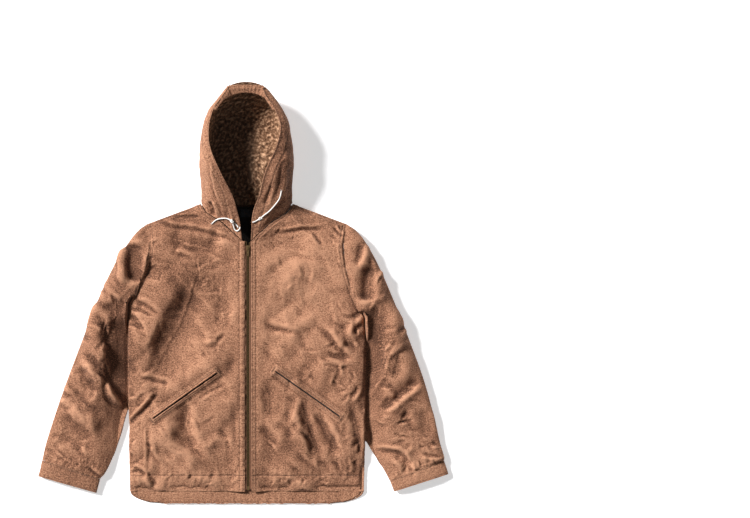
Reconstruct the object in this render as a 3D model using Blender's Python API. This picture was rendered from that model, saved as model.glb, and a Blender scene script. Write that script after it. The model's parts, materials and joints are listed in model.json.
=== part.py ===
"""A hooded canvas work jacket, zipped up and laid flat on its back.

The garment frame is in millimetres: x = 0 on the centre front, +x towards the wearer's left sleeve,
y = 0 at the front hem and +y towards the hood, z = 0 on the surface that the jacket lies on.
settle_on_origin() moves the finished garment so that the origin is under the middle of its box.
"""

import math

import bmesh
import bpy
import numpy as np
from mathutils import Matrix, Vector

MM = 0.001

# Driving sizes, in millimetres
CLOTH = 2.0  # canvas wall, with its backing
SEAM_GAP = 0.7  # between two pieces that are sewn together
SLEEVE_SEAM_GAP = 0.8  # from the middle of the sleeve's seams to the cloth on each side
PILE = 5.0  # sherpa lining wall
LINING_GAP = 2.0
TAIL_DROP = 28.0  # how far the back hem reaches below the front hem
TAIL_CORNER = 72.0  # width of the round corner at each end of the tail
HEM_DEPTH = 75.0  # turned-up hem of the back
ZIP_TOP = 584.0
ZIP_BOTTOM = 5.0
ZIP_CENTRE = 3.2  # the teeth lie a little to the wearer's left of the centre front
FRONT_EDGE = {"left": 11.5, "right": -4.5}  # folded front edges beside the zip
EDGE_POWER = 6.0  # how boxy the body is from side to side
# Columns of points across each panel, crowded towards the side
FRONT_COLUMNS = 9
BACK_COLUMNS = np.array([0, 0.35, 0.66, 0.76, 0.88, 0.95, 0.985, 1.0])
FACING_COLUMNS = np.array([0, 0.3, 0.55, 0.72, 0.86])
CUFF_DEPTH = 34.0
CENTRE_STRIP = 36.0  # half width of the hood's centre panel
BACK_NECK = 668.0
RING_POINTS = 22  # points round a sleeve

SIDES = {"left": 1.0, "right": -1.0}

CANVAS = ("canvas", (0.33, 0.165, 0.09), 0.85, 0.0)
SHERPA = ("sherpa", (0.26, 0.15, 0.095), 0.95, 0.0)
LABEL = ("label", (0.012, 0.014, 0.018), 0.6, 0.0)
TAPE = ("zip_tape", (0.16, 0.085, 0.05), 0.8, 0.0)
BRASS = ("brass", (0.36, 0.25, 0.11), 0.38, 1.0)
CORD = ("cord", (0.83, 0.82, 0.79), 0.75, 0.0)

# Body outline and loft up the side, from the hem to the armpit
SIDE_ROWS = [
    # share, half_width, front_z
    (0.00, 272, 13),
    (0.09, 273, 19),
    (0.27, 275, 28),
    (0.42, 275, 33),
    (0.62, 275, 38),
    (0.84, 275, 40),
    (1.00, 274, 40),
]
SIDE_SHARES = (0, 0.045, 0.09, 0.17, 0.26, 0.36, 0.47, 0.6, 0.73, 0.87)  # rows of points up the side
NECK_HEIGHTS = [636, 648, 660, 670]  # rows of points above the shoulder tip
SEAM_Z = (7.0, 23.0)  # height of the side seam at the hem, and where it lies on the sleeve
BACK_LIFT = 17.0  # how far the sleeve under the body's side lifts the back panel
EMERGES = {"left": 112.0, "right": 186.0}  # height at which each sleeve comes out from under the body
# Where the side rises onto the sleeve: how far below EMERGES it starts, and over what height
SEAM_RISE = (62.0, 100.0)
LIFT_RISE = (40.0, 76.0)
ARMHOLE_DROP = 0.3  # share of the armhole's height over which the back comes down off the sleeve
LIFT_ACROSS = (88.0, 52.0)  # the back starts to rise this far inboard of the side, over this width
EDGE_TURN = 0.12  # share of the width over which the underside turns up to the side seam
TAIL_SHARES = (1.0, 0.86, 0.6, 0.3)  # rows of points down the tail, as shares of its drop
TAIL_ROUND = 0.62  # how square the tail's corners are
# Armhole, from the armpit to the shoulder tip: share of its height, distance out from the centre,
# and the heights of the front edge, the front panel and the back edge
ARMHOLE_ROWS = [
    # share, out, front_edge_z, front_z, back_edge_z
    (0.00, 274, 23, 40, 22),
    (0.12, 261, 32, 40, 12),
    (0.28, 246, 37, 40, 4),
    (0.55, 231, 38, 40, 1),
    (0.78, 226, 35, 39, 1),
    (0.92, 229, 26, 37, 6),
    (1.00, 232, 16, 35, 14),
]
ARMPIT = {"left": 405.0, "right": 440.0}
SHOULDER_TIP = 624.0
# Shoulder line and neck seam, from the shoulder tip to the neck: height, shoulder and neck distance out
SHOULDER_ROWS = [
    # y, out, seam_z, front_z
    (624, 232, 16, 35),
    (648, 168, 17, 33),
    (664, 125, 18, 28),
    (671, 109, 19, 24),
]
NECK_ROWS = [
    # y, out
    (584, 11.5),
    (593, 20),
    (603, 32),
    (616, 46),
    (630, 63),
    (641, 81),
    (653, 97),
    (671, 107),
]
# Zip, in millimetres: heights are below the front panels' outer surface
TAPE_WIDTH = 15.0
TAPE_DEPTH = 3.2  # down to the middle of the tape
TAPE_WALL = 1.0
TOOTH_WIDTH = 2.8  # of one side's teeth
TOOTH_WALL = 2.4
BOTTOM_BOX_WIDTH = 5.8
BOTTOM_BOX_WALL = 3.6
SLIDER_Y = (562.0, 574.0)
SLIDER_WIDTH = 9.0
SLIDER_WALL = 1.2
PULL_PIN_Y = 567.0
PULL_WIDTH = 5.2
PULL_LENGTH = 19.0
# Slanted pockets: inner and outer end of the opening
POCKETS = {"left": ((66.5, 282), (217, 176)), "right": ((69, 277), (218, 171))}
JET_WIDTH = 8.0
LABEL_BOX = ((-15.0, 640.0), (13.0, 658.0))
# Each sleeve from armhole to cuff: outer and inner edge in plan, loft, and height of the inner edge
SLEEVE_ROWS = {
    "left": [
        # along, outer_x, outer_y, inner_x, inner_y, loft, inner_z
        (0.00, 232, 624, 274, 405, 39, 20),
        (0.03, 248, 614, 284, 399, 42, 14),
        (0.07, 267, 595, 288, 386, 44, 10),
        (0.16, 303, 535, 272, 342, 47, 8),
        (0.34, 341, 449, 254, 270, 46, 8),
        (0.52, 380, 350, 256, 200, 43, 8),
        (0.68, 414, 256, 266, 140, 37, 8),
        (0.80, 434, 183, 286, 102, 31, 10),
        (0.92, 452, 107, 318, 52, 26, 11),
        (1.00, 460, 74, 332, 26, 23, 10),
    ],
    "right": [
        (0.00, 232, 624, 274, 440, 39, 20),
        (0.03, 247, 614, 284, 434, 42, 14),
        (0.07, 266, 593, 288, 421, 44, 10),
        (0.16, 306, 533, 272, 376, 47, 8),
        (0.34, 345, 451, 255, 310, 46, 8),
        (0.52, 392, 330, 259, 240, 43, 8),
        (0.66, 420, 256, 276, 192, 37, 9),
        (0.80, 448, 176, 294, 132, 31, 11),
        (0.92, 470, 105, 320, 62, 26, 11),
        (1.00, 477, 74, 341, 30, 23, 10),
    ],
}
CUFF_EDGE = {  # the open end of each cuff: outer and inner corner in plan
    "left": ((470, 41), (343, 0)),
    "right": ((487, 36), (350, -3)),
}
CUFF_LOFT = 21.0
CUFF_INNER_Z = 9.0
BACK_SEAM_ACROSS = 0.42  # where the sleeve's back seam runs, from the outer edge across the underside
SLEEVE_RINGS = (0.0, 0.03, 0.07, 0.12, 0.2, 0.3, 0.42, 0.54, 0.67, 0.83, 1.0)  # shares down the sleeve
SLEEVE_BOW = (21.0, 0.3)  # how far the rings bow out at the armhole, and the share down where that ends
OUTER_EDGE_SHARE = 0.42  # height of the sleeve's outer edge, as a share of its loft
CREST_POWERS = (0.75, 0.45)  # how full the sleeve's section is above its edges, and below them
# The sleeve stays this far under the body. Beyond the side seam its limit rises again, this steeply
CEILING_GAP = 2.0
CEILING_REACH = 7.0
CEILING_SLOPE = 1.9
CEILING_LOOK = (3.0, 24.0)  # the body's height is taken this far inboard and this far down
NO_CEILING = 1000.0
LEAST_HOLLOW = 0.6  # from the middle of a sleeve to each of its walls, where it is flattest

# Each line of the hood's side panel runs from the centre panel's seam out to the rim of the opening.
# Centre seam (y, z), then low, widest and high point and the rim on each side, each (out, y, z)
HOOD_ROWS = [
    # seam_y, seam_z, low, wide, high, rim_right, rim_left
    (668.6, 0, (76, 671, 4), (107.5, 673, 20), (63, 627.5, 33), (6, 590, 36), (8, 590, 36)),
    (700, 0, (80, 700, 4), (106, 700, 30), (74, 668, 54), (19, 645, 50), (15, 650, 50)),
    (736, 0, (82, 735, 3), (108, 730, 38), (80, 712, 71), (32, 690, 69), (30, 690, 69)),
    (776, 0, (84, 773, 4), (110, 764, 44), (90, 754, 85), (58, 742, 87), (45, 746, 87)),
    (816, 0, (84, 813, 5), (109, 806, 48), (99, 800, 83), (82, 798, 95), (69, 798, 96)),
    (856, 1, (80, 854, 8), (101, 848, 52), (97, 845, 82), (86, 845, 94), (80, 847, 95)),
    (896, 8, (72, 893, 22), (87, 886, 58), (84, 885, 82), (75, 889, 91), (67, 889, 92)),
    (930, 28, (60, 923, 44), (66, 916, 66), (64, 916, 80), (55, 920, 87), (46, 919, 88)),
    (943, 56, (48, 939, 64), (52, 934, 74), (50, 933, 80), (44, 935, 84), (39, 935, 84)),
    (946, 80, (38, 945, 80.4), (38.8, 944, 81), (39.4, 943, 81.6), (40, 942, 82), (39, 942, 82)),
]

HOOD_LINES = 16
HOOD_INSIDE = (0, 780, 60)  # a place in the hollow of the hood
CROWN = (0.6, 0.3, 7.0, 2.0)  # the centre strip bulges from this share up, over this share, in y and in z

# Hood cords: points chosen along the real cord, from the hole in the hood's front edge to the free end
CORD_DIAMETER = 3.0
CORD_LIFT = 0.9  # between a cord and the cloth under it
CORD_PATHS = {
    # the wearer's right cord swings round below its knot; its returning strand closes the loop
    "cord_right": [
        (-14.5, 616.5), (-16.8, 611.0), (-22.0, 607.6), (-27.2, 611.2), (-29.9, 619.5), (-33.6, 629.6),
        (-43.0, 635.6), (-53.0, 636.9), (-64.0, 635.6), (-72.0, 632.2), (-80.0, 625.4),
    ],
    "cord_right_return": [(-28.4, 626.0), (-24.0, 622.6), (-20.4, 618.4), (-19.6, 615.4)],
    "cord_left": [
        (14.0, 627.5), (20.0, 629.3), (26.0, 632.8), (32.0, 636.2), (41.0, 643.8), (54.0, 653.8),
        (66.5, 667.6), (75.4, 679.2), (79.2, 688.0), (81.6, 699.4),
    ],
}
KNOT_AT = {"cord_right": (5, 2.1), "cord_left": (3, 1.8)}  # which point each knot is on, and its thickness


# ---------------------------------------------------------------- shapes from tables


def smooth_rows(rows, key):
    """The table's columns at this value of its first column, on a smooth curve with no overshoot."""
    table = np.array(rows, float)
    x, y = table[:, 0], table[:, 1:]
    h = np.diff(x)[:, None]
    d = np.diff(y, axis=0) / h
    slope = np.zeros_like(y)
    slope[0], slope[-1] = d[0], d[-1]
    same_way = d[:-1] * d[1:] > 0
    total = np.where(np.abs(d[:-1]) + np.abs(d[1:]) > 0, d[:-1] + d[1:], 1.0)
    slope[1:-1] = np.where(same_way, 2 * d[:-1] * d[1:] / total, 0.0)
    i = int(np.clip(np.searchsorted(x, key) - 1, 0, len(x) - 2))
    s = (np.clip(key, x[0], x[-1]) - x[i]) / h[i]
    return (
        (1 + 2 * s) * (1 - s) ** 2 * y[i]
        + s * (1 - s) ** 2 * h[i] * slope[i]
        + s**2 * (3 - 2 * s) * y[i + 1]
        + s**2 * (s - 1) * h[i] * slope[i + 1]
    )


def through(points, count):
    """count points, evenly spaced by index, on a smooth curve through these points."""
    points = np.array(points, float)
    padded = np.vstack([2 * points[0] - points[1], points, 2 * points[-1] - points[-2]])
    found = []
    for t in np.linspace(0, len(points) - 1, count):
        i = min(int(t), len(points) - 2)
        s = t - i
        a, b, c, d = padded[i : i + 4]
        found.append(
            0.5 * (2 * b + (c - a) * s + (2 * a - 5 * b + 4 * c - d) * s**2 + (3 * b - a - 3 * c + d) * s**3)
        )
    return np.array(found)


def ease(t):
    t = np.clip(t, 0.0, 1.0)
    return t * t * (3 - 2 * t)


def shares(count, crowd=1.0):
    """count shares from 0 to 1, crowded towards 1 where crowd is over 1."""
    return 1 - (1 - np.linspace(0, 1, count)) ** crowd


def plan_normals(points):
    """Unit vectors to the left of a path in plan, one at each of its points."""
    step = np.gradient(np.array(points, float)[:, :2], axis=0)
    step /= np.linalg.norm(step, axis=1, keepdims=True)
    return np.stack([-step[:, 1], step[:, 0]], axis=1)


# ---------------------------------------------------------------- the body's form


def ring_shares():
    """Shares across the sleeve from edge to edge, crowded at both: the armhole has the same points."""
    half = RING_POINTS // 2
    return [0.5 * (1 - math.cos(math.pi * k / half)) for k in range(half + 1)]


def body_row(side, y):
    """At this height: distance out to the edge, its height, the front's height, the back edge's height,
    and how far the back panel is lifted beside the sleeve."""
    armpit = ARMPIT[side]
    if y >= SHOULDER_TIP:
        out, seam, front = smooth_rows(SHOULDER_ROWS, y)
        return out, seam, front, seam, 0.0
    if y >= armpit:
        share = (y - armpit) / (SHOULDER_TIP - armpit)
        out, edge, front, back = smooth_rows(ARMHOLE_ROWS, share)
        return out, edge, front, back, BACK_LIFT * (1 - ease(share / ARMHOLE_DROP))
    out, front = smooth_rows(SIDE_ROWS, y / armpit)
    above = y - EMERGES[side]
    seam = SEAM_Z[0] + (SEAM_Z[1] - SEAM_Z[0]) * ease((above + SEAM_RISE[0]) / SEAM_RISE[1])
    return out, seam, front, seam, BACK_LIFT * ease((above + LIFT_RISE[0]) / LIFT_RISE[1])


def body_heights(side):
    """The heights at which the body's panels have a row of points, from the hem to the neck."""
    armpit = ARMPIT[side]
    sides = [armpit * share for share in SIDE_SHARES]
    armhole = [armpit + share * (SHOULDER_TIP - armpit) for share in ring_shares()]
    return sides + armhole + NECK_HEIGHTS


def body_rows(side):
    return [(y, neck_out(y), *body_row(side, y)) for y in body_heights(side)]


def underside(side, x, y):
    """Height of the back panel's underside at this distance out from the centre."""
    out, _, _, edge, lift = body_row(side, y)
    raised = lift * ease((x - (out - LIFT_ACROSS[0])) / LIFT_ACROSS[1])
    return raised + (edge - SEAM_GAP - raised) * edge_rise(x / out)


def sleeve_ceiling(side, x, y):
    """How high the sleeve may reach here: under the back panel, and clear of it outboard of the side seam."""
    if y > ARMPIT[side]:
        return NO_CEILING
    out = body_row(side, y)[0]
    under_seam = underside(side, out, y) - CEILING_GAP
    if x > out + CEILING_REACH:
        return under_seam + CEILING_SLOPE * (x - out - CEILING_REACH)
    inboard, below = CEILING_LOOK
    return min(under_seam, underside(side, min(x, out) - inboard, y - below) - CEILING_GAP)


def neck_out(y):
    """How far from the centre the front's neck seam is at this height: 0 below the zip's top."""
    return 0.0 if y < ZIP_TOP else float(smooth_rows(NECK_ROWS, y)[0])


def is_fold(side, y):
    """True where front and back meet at a folded edge: the side and the shoulder, but not the armhole."""
    return y < ARMPIT[side] + 1 or y >= SHOULDER_TIP


def front_height(across, edge, full):
    return edge + (full - edge) * math.sqrt(max(0.0, 1 - across**EDGE_POWER))


def front_points(side, across_shares):
    """The front panel's outer surface, one row of points for each row of the body."""
    sign = SIDES[side]
    grid, folds = [], []
    for y, neck, out, edge, full, _, _ in body_rows(side):
        start = FRONT_EDGE[side] * sign if y < ZIP_TOP else max(neck, FRONT_EDGE[side] * sign)
        row = []
        for t in across_shares:
            x = start + (out - start) * t
            across = max(0.0, x) / out
            row.append((sign * x, y, front_height(across, edge, full)))
        grid.append(row)
        folds.append(is_fold(side, y))
    return np.array(grid), folds


def surface_z(x, y):
    """Height of the front's outer surface over this point."""
    out, edge, full, _, _ = body_row("left" if x > 0 else "right", y)
    return front_height(min(1.0, abs(x) / out), edge, full)


def back_points(side, across_shares):
    """The back panel's outer surface, which is its underside, from the tail up to the neck."""
    sign = SIDES[side]
    grid, folds = [], []
    half, seam, *_ = body_row(side, 0)
    for drop in TAIL_SHARES:
        out = half - TAIL_CORNER * (1 - (1 - drop**2) ** TAIL_ROUND)
        rise = (seam - SEAM_GAP) * (1 - drop)
        row = [(0.3 + (out - 0.3) * t, -TAIL_DROP * drop, rise * edge_rise(t)) for t in across_shares]
        grid.append([(sign * x, y, z) for x, y, z in row])
        folds.append(True)
    for y, _, out, *_ in body_rows(side):
        y = min(y, BACK_NECK - SEAM_GAP)
        row = []
        for t in across_shares:
            x = 0.3 + (out - 0.3) * t
            row.append((sign * x, y, max(0.0, underside(side, x, y))))
        grid.append(row)
        folds.append(is_fold(side, y))
    return np.array(grid), folds


def edge_rise(across):
    """How much of the way up to the side seam the underside has turned, 0 inboard and 1 at the seam."""
    turn = np.clip(1 - (1 - across) / EDGE_TURN, 0.0, 1.0)
    return 1 - math.sqrt(1 - turn**2)


# ---------------------------------------------------------------- the sleeves' form


def ring_angles():
    """(share across from the inner edge, True on top) round the sleeve, over the top and back underneath."""
    shares_across = ring_shares()
    return [(u, True) for u in shares_across[:-1]] + [(u, False) for u in shares_across[:0:-1]]


def sleeve_ring(side, row, bow):
    """Closed ring of points round the sleeve: over the top from inner to outer edge, and back under."""
    outer_x, outer_y, inner_x, inner_y, loft, inner_z = row
    outer, inner = np.array([outer_x, outer_y]), np.array([inner_x, inner_y])
    chord = outer - inner
    away = np.array([-chord[1], chord[0]]) / np.linalg.norm(chord)
    outer_z = OUTER_EDGE_SHARE * loft
    ring = []
    for u, top in ring_angles():
        crest = math.sqrt(max(0.0, 1 - (2 * u - 1) ** 2))
        x, y = inner + chord * u + away * bow * math.sin(math.pi * u)
        base = inner_z + (outer_z - inner_z) * u
        if top:
            z = min(base + (loft - base) * crest ** CREST_POWERS[0], sleeve_ceiling(side, x, y))
        else:
            z = base * (1 - crest ** CREST_POWERS[1])
        ring.append((x, y, z))
    return np.array(ring)


def sleeve_grid(side):
    """The sleeve's outer surface as rings from the armhole to the cuff seam."""
    rows = [armhole_ring(side)]
    for along in SLEEVE_RINGS[1:]:
        bow = SLEEVE_BOW[0] * (1 - ease(along / SLEEVE_BOW[1]))
        rows.append(sleeve_ring(side, smooth_rows(SLEEVE_ROWS[side], along), bow))
    grid = np.array(rows)
    grid[..., 0] *= SIDES[side]
    return grid


def armhole_ring(side):
    """The first ring follows the body's armhole, just clear of it."""
    armpit = ARMPIT[side]
    ring = []
    for share, top in ring_angles():
        y = armpit + share * (SHOULDER_TIP - armpit)
        out, front, _, back = smooth_rows(ARMHOLE_ROWS, share)
        ring.append((out + SEAM_GAP, y, front if top else max(0.0, back - SEAM_GAP)))
    return np.array(ring)


def cuff_grid(side):
    """Three rings from the sleeve's end to the cuff's open edge."""
    start = np.array(smooth_rows(SLEEVE_ROWS[side], 1.0))
    (outer_x, outer_y), (inner_x, inner_y) = CUFF_EDGE[side]
    end = np.array([outer_x, outer_y, inner_x, inner_y, CUFF_LOFT, CUFF_INNER_Z])
    shares_down = (SEAM_GAP / CUFF_DEPTH, 0.5, 1.0)
    grid = np.array([sleeve_ring(side, start + (end - start) * share, 0.0) for share in shares_down])
    grid[..., 0] *= SIDES[side]
    return grid


# ---------------------------------------------------------------- the hood's form


def hood_neck(side, count):
    """The hood's edge along the front's neck seam, from the shoulder to the zip."""
    seam = np.array([(out, y) for y, out in NECK_ROWS[::-1]], float)
    seam = seam + plan_normals(seam) * (-2 * SEAM_GAP)
    seam = through(seam, 60)
    walked = np.concatenate([[0], np.cumsum(np.linalg.norm(np.diff(seam, axis=0), axis=1))])
    stops = np.linspace(0, walked[-1], count)
    x, y = (np.interp(stops, walked, seam[:, k]) for k in (0, 1))
    return np.array([(a, b, surface_z(a * SIDES[side], b)) for a, b in zip(x, y)])


def hood_grid(side, lines, across):
    """Outer surface of the hood's side panel: lines from neck to crown, each from centre seam to rim."""
    rows = []
    for seam_y, seam_z, low, wide, high, *rims in HOOD_ROWS:
        rim = rims[side == "left"]
        rows.append([(CENTRE_STRIP + SEAM_GAP, seam_y, seam_z), low, wide, high, rim])
    rows = np.array(rows, float)
    columns = [through(rows[:, k], lines) for k in range(rows.shape[1])]
    grid = np.array([through([c[i] for c in columns], across) for i in range(lines)])
    grid[0, across // 2 :] = hood_neck(side, across - across // 2)
    grid[..., 2] = np.maximum(grid[..., 2], 0.0)
    grid[..., 0] *= SIDES[side]
    return grid


def hood_centre_grid(lines, across):
    """The strip over the back of the head, between the two side panels."""
    seam = np.array([(CENTRE_STRIP - 0.8, y, z) for y, z, *_ in HOOD_ROWS], float)
    seam = through(seam, lines)
    start, span, bulge_y, bulge_z = CROWN
    grid = []
    for i, (x, y, z) in enumerate(seam):
        crown = ease((i / (lines - 1) - start) / span)
        row = []
        for t in np.linspace(-1, 1, across):
            bulge = crown * (1 - t * t)
            row.append((x * t, y + bulge_y * bulge, z - bulge_z * bulge * (z > 30)))
        grid.append(row)
    grid = np.array(grid)
    grid[..., 2] = np.maximum(grid[..., 2], 0.0)
    return grid


# ---------------------------------------------------------------- walls from grids


def grid_normals(grid, closed):
    """Unit normals of a grid of points, one at each point."""
    along = np.gradient(grid, axis=0)
    if closed:
        around = np.roll(grid, -1, axis=1) - np.roll(grid, 1, axis=1)
    else:
        around = np.gradient(grid, axis=1)
    normal = np.cross(along, around)
    return normal / np.maximum(np.linalg.norm(normal, axis=-1, keepdims=True), 1e-9)


def inward(grid, towards, closed=False, level_columns=(), level_rows=None):
    """Unit directions from the outer surface into the wall. towards is a point inside the garment.
    In level_columns the direction stays level, so that walls that meet at a fold end in one plane."""
    normal = grid_normals(grid, closed)
    away = np.einsum("ijk,ijk->ij", normal, np.array(towards, float) - grid)
    if away.sum() < 0:
        normal = -normal
    for column in level_columns:
        for i in range(grid.shape[0]):
            if level_rows is None or level_rows[i]:
                normal[i, column, 2] = 0.0
    return normal / np.maximum(np.linalg.norm(normal, axis=-1, keepdims=True), 1e-9)


def wall(name, outer, inner, material, closed=False):
    """A closed solid between two grids of points. closed joins the last column to the first.
    Every square is split along the same diagonal, so that neighbouring walls stay parallel."""
    mesh = bmesh.new()
    rows, columns = outer.shape[:2]
    top, under = (
        [[mesh.verts.new(Vector(p) * MM) for p in row] for row in grid] for grid in (outer, inner)
    )

    def square(a, b, c, d):
        mesh.faces.new((a, b, c))
        mesh.faces.new((a, c, d))

    last = columns if closed else columns - 1
    for j in range(last):
        k = (j + 1) % columns
        for i in range(rows - 1):
            square(top[i][j], top[i + 1][j], top[i + 1][k], top[i][k])
            square(under[i + 1][k], under[i + 1][j], under[i][j], under[i][k])
        square(top[0][j], top[0][k], under[0][k], under[0][j])
        square(top[-1][k], top[-1][j], under[-1][j], under[-1][k])
    if not closed:
        for i in range(rows - 1):
            square(top[i + 1][0], top[i][0], under[i][0], under[i + 1][0])
            square(top[i][-1], top[i + 1][-1], under[i + 1][-1], under[i][-1])
    return finish_mesh(name, mesh, material)


def finish_mesh(name, mesh, material):
    mesh.normal_update()
    bmesh.ops.triangulate(mesh, faces=mesh.faces[:])
    bmesh.ops.recalc_face_normals(mesh, faces=mesh.faces[:])
    if mesh.calc_volume(signed=True) < 0:
        bmesh.ops.reverse_faces(mesh, faces=mesh.faces[:])
    data = bpy.data.meshes.new(name)
    mesh.to_mesh(data)
    mesh.free()
    data.shade_smooth()
    piece = bpy.data.objects.new(name, data)
    bpy.context.scene.collection.objects.link(piece)
    data.materials.append(material_of(material))
    return piece


def material_of(spec):
    name, colour, roughness, metallic = spec
    made = bpy.data.materials.get(name)
    if made is None:
        made = bpy.data.materials.new(name)
        made.use_nodes = True
        shader = made.node_tree.nodes["Principled BSDF"]
        shader.inputs["Base Color"].default_value = (*colour, 1.0)
        shader.inputs["Roughness"].default_value = roughness
        shader.inputs["Metallic"].default_value = metallic
    return made


# ---------------------------------------------------------------- the pieces


def build_body():
    across = shares(FRONT_COLUMNS, 2.0)
    for side in SIDES:
        outer, folds = front_points(side, across)
        into = inward(outer, (SIDES[side] * 120, 300, -2000), level_columns=(-1,), level_rows=folds)
        wall(f"front_{side}", outer, outer + into * CLOTH, CANVAS)
    for side in SIDES:
        outer, folds = back_points(side, BACK_COLUMNS)
        into = inward(outer, (SIDES[side] * 120, 300, 2000), level_columns=(-1,), level_rows=folds)
        wall(f"back_{side}", outer, outer + into * CLOTH, CANVAS)


def tube_inside(grid, side):
    """The inner surface of a flattened tube. Its two walls stay clear of each other at the folded edges,
    and at its first ring the wall doesn't lean back towards the body."""
    count = grid.shape[1]
    centre = grid.mean(axis=1, keepdims=True)
    into = grid_normals(grid, True)
    into *= np.sign(np.einsum("ijk,ijk->ij", into, centre - grid).sum())
    for k in (0, count // 2):
        level = centre[:, 0, :2] - grid[:, k, :2]
        into[:, k, :2] = level / np.linalg.norm(level, axis=1, keepdims=True)
        into[:, k, 2] = 0.0
    into[0, :, 0] = np.maximum(into[0, :, 0] * SIDES[side], 0.05) * SIDES[side]
    inner = grid + into * CLOTH
    for k in range(1, count // 2):
        top, under = inner[:, k], inner[:, count - k]
        middle = (grid[:, k, 2] + grid[:, count - k, 2]) / 2
        top[:, 2] = np.maximum(top[:, 2], middle + LEAST_HOLLOW)
        under[:, 2] = np.clip(under[:, 2], grid[:, count - k, 2] + LEAST_HOLLOW, middle - LEAST_HOLLOW)
    return inner


def build_sleeves():
    count = RING_POINTS
    for side in SIDES:
        grid = sleeve_grid(side)
        inner = tube_inside(grid, side)
        half = count // 2
        seam = half + int(round(half * math.acos(1 - 2 * BACK_SEAM_ACROSS) / math.pi))
        top = list(range(0, seam + 1))
        under = list(range(seam, count)) + [0]
        for name, columns in (("sleeve_top", top), ("sleeve_under", under)):
            o, n = grid[:, columns].copy(), inner[:, columns].copy()
            for end, neighbour in ((0, 1), (-1, -2)):
                step = o[:, neighbour] - o[:, end]
                step /= np.linalg.norm(step, axis=-1, keepdims=True)
                o[:, end] += step * SLEEVE_SEAM_GAP
                n[:, end] += step * SLEEVE_SEAM_GAP
            wall(f"{name}_{side}", o, n, CANVAS)
        cuff = cuff_grid(side)
        wall(f"cuff_{side}", cuff, tube_inside(cuff, side), CANVAS, closed=True)


def build_hood():
    centre = hood_centre_grid(HOOD_LINES, 5)
    into_centre = inward(centre, HOOD_INSIDE)
    wall("hood_centre", centre, centre + into_centre * CLOTH, CANVAS)
    behind = centre + into_centre * (CLOTH + LINING_GAP)
    lining = {"centre": (behind[:, 1:-1], (behind + into_centre * PILE)[:, 1:-1])}
    for side in SIDES:
        outer = hood_grid(side, HOOD_LINES, 9)
        into = inward(outer, HOOD_INSIDE)
        if side == "right":
            outer, into = outer[:, ::-1], into[:, ::-1]
        wall(f"hood_side_{side}", outer, outer + into * CLOTH, CANVAS)
        behind = outer + into * (CLOTH + LINING_GAP)
        lining[side] = (behind, behind + into * PILE)
    layers = []
    for k in (0, 1):
        whole = np.concatenate([lining[part][k] for part in ("right", "centre", "left")], axis=1)
        for edge, near in ((0, 1), (-1, -2)):
            whole[edge] += (whole[near] - whole[edge]) * 0.2
            whole[:, edge] += (whole[:, near] - whole[:, edge]) * 0.25
        layers.append(whole)
    wall("hood_lining", *layers, SHERPA)


def build_hem_facing():
    """The back hem, turned up inside: it shows where the tail is longer than the front."""
    halves = []
    for side in ("right", "left"):
        outer, _ = back_points(side, FACING_COLUMNS)
        into = inward(outer, (SIDES[side] * 120, 300, 2000))
        keep = [i for i in range(len(outer)) if outer[i, 0, 1] <= HEM_DEPTH - TAIL_DROP]
        outer, into = outer[keep], into[keep]
        under, over = outer + into * (CLOTH + SEAM_GAP), outer + into * (2 * CLOTH + SEAM_GAP)
        halves.append((under, over))
    under, over = (np.concatenate([halves[0][k][:, ::-1], halves[1][k]], axis=1) for k in (0, 1))
    for grid in (under, over):
        grid[0, :, 1] += 0.6
    wall("back_hem_facing", under, over, CANVAS)


def ribbon(name, path, x_from, x_to, bottom, top, material):
    """A strip that follows a list of (y, height of the front's surface), between two distances below it."""
    grids = [
        np.array([[(x, y, z + level) for x in (x_from(y), x_to(y))] for y, z in path])
        for level in (top, bottom)
    ]
    return wall(name, *grids, material)


def build_zip():
    heights = [y for y in body_heights("left") if ZIP_BOTTOM < y < ZIP_TOP - 20]
    path = [(y, surface_z(0, y)) for y in [ZIP_BOTTOM, *heights, 570.0, ZIP_TOP]]
    teeth = [(y, z) for y, z in path if y > ZIP_BOTTOM + 9]
    teeth = [(ZIP_BOTTOM + 9, surface_z(0, ZIP_BOTTOM + 9)), *teeth]
    for side, sign in SIDES.items():

        def spread(y):
            return 0.15 + 2.4 * ease((y - SLIDER_Y[0] - 2) / 14)

        def at(distance):
            return lambda y: ZIP_CENTRE + sign * (spread(y) + distance)

        tape = at(TOOTH_WIDTH + 0.3), at(TOOTH_WIDTH + 0.3 + TAPE_WIDTH)
        middle = -TAPE_DEPTH
        ribbon(f"zip_tape_{side}", path, *tape, middle - TAPE_WALL / 2, middle + TAPE_WALL / 2, TAPE)
        half = TOOTH_WALL / 2
        ribbon(f"zip_teeth_{side}", teeth, at(0), at(TOOTH_WIDTH), middle - half, middle + half, BRASS)
    z = surface_z(0, ZIP_BOTTOM + 3) - TAPE_DEPTH
    half, thick = BOTTOM_BOX_WIDTH / 2, BOTTOM_BOX_WALL / 2
    low = (ZIP_CENTRE - half, ZIP_BOTTOM - 1, z - thick)
    block("zip_bottom_box", low, (ZIP_CENTRE + half, ZIP_BOTTOM + 8.4, z + thick))


def block(name, low, high):
    """A brass block with its edges rounded."""
    mesh = bmesh.new()
    bmesh.ops.create_cube(mesh, size=1.0)
    size = [h - l for l, h in zip(low, high)]
    middle = [(h + l) / 2 for l, h in zip(low, high)]
    for vert in mesh.verts:
        vert.co = Vector([vert.co[k] * size[k] + middle[k] for k in range(3)]) * MM
    bmesh.ops.bevel(mesh, geom=mesh.edges[:], offset=0.35 * MM, segments=1, affect="EDGES")
    return finish_mesh(name, mesh, BRASS)


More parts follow.
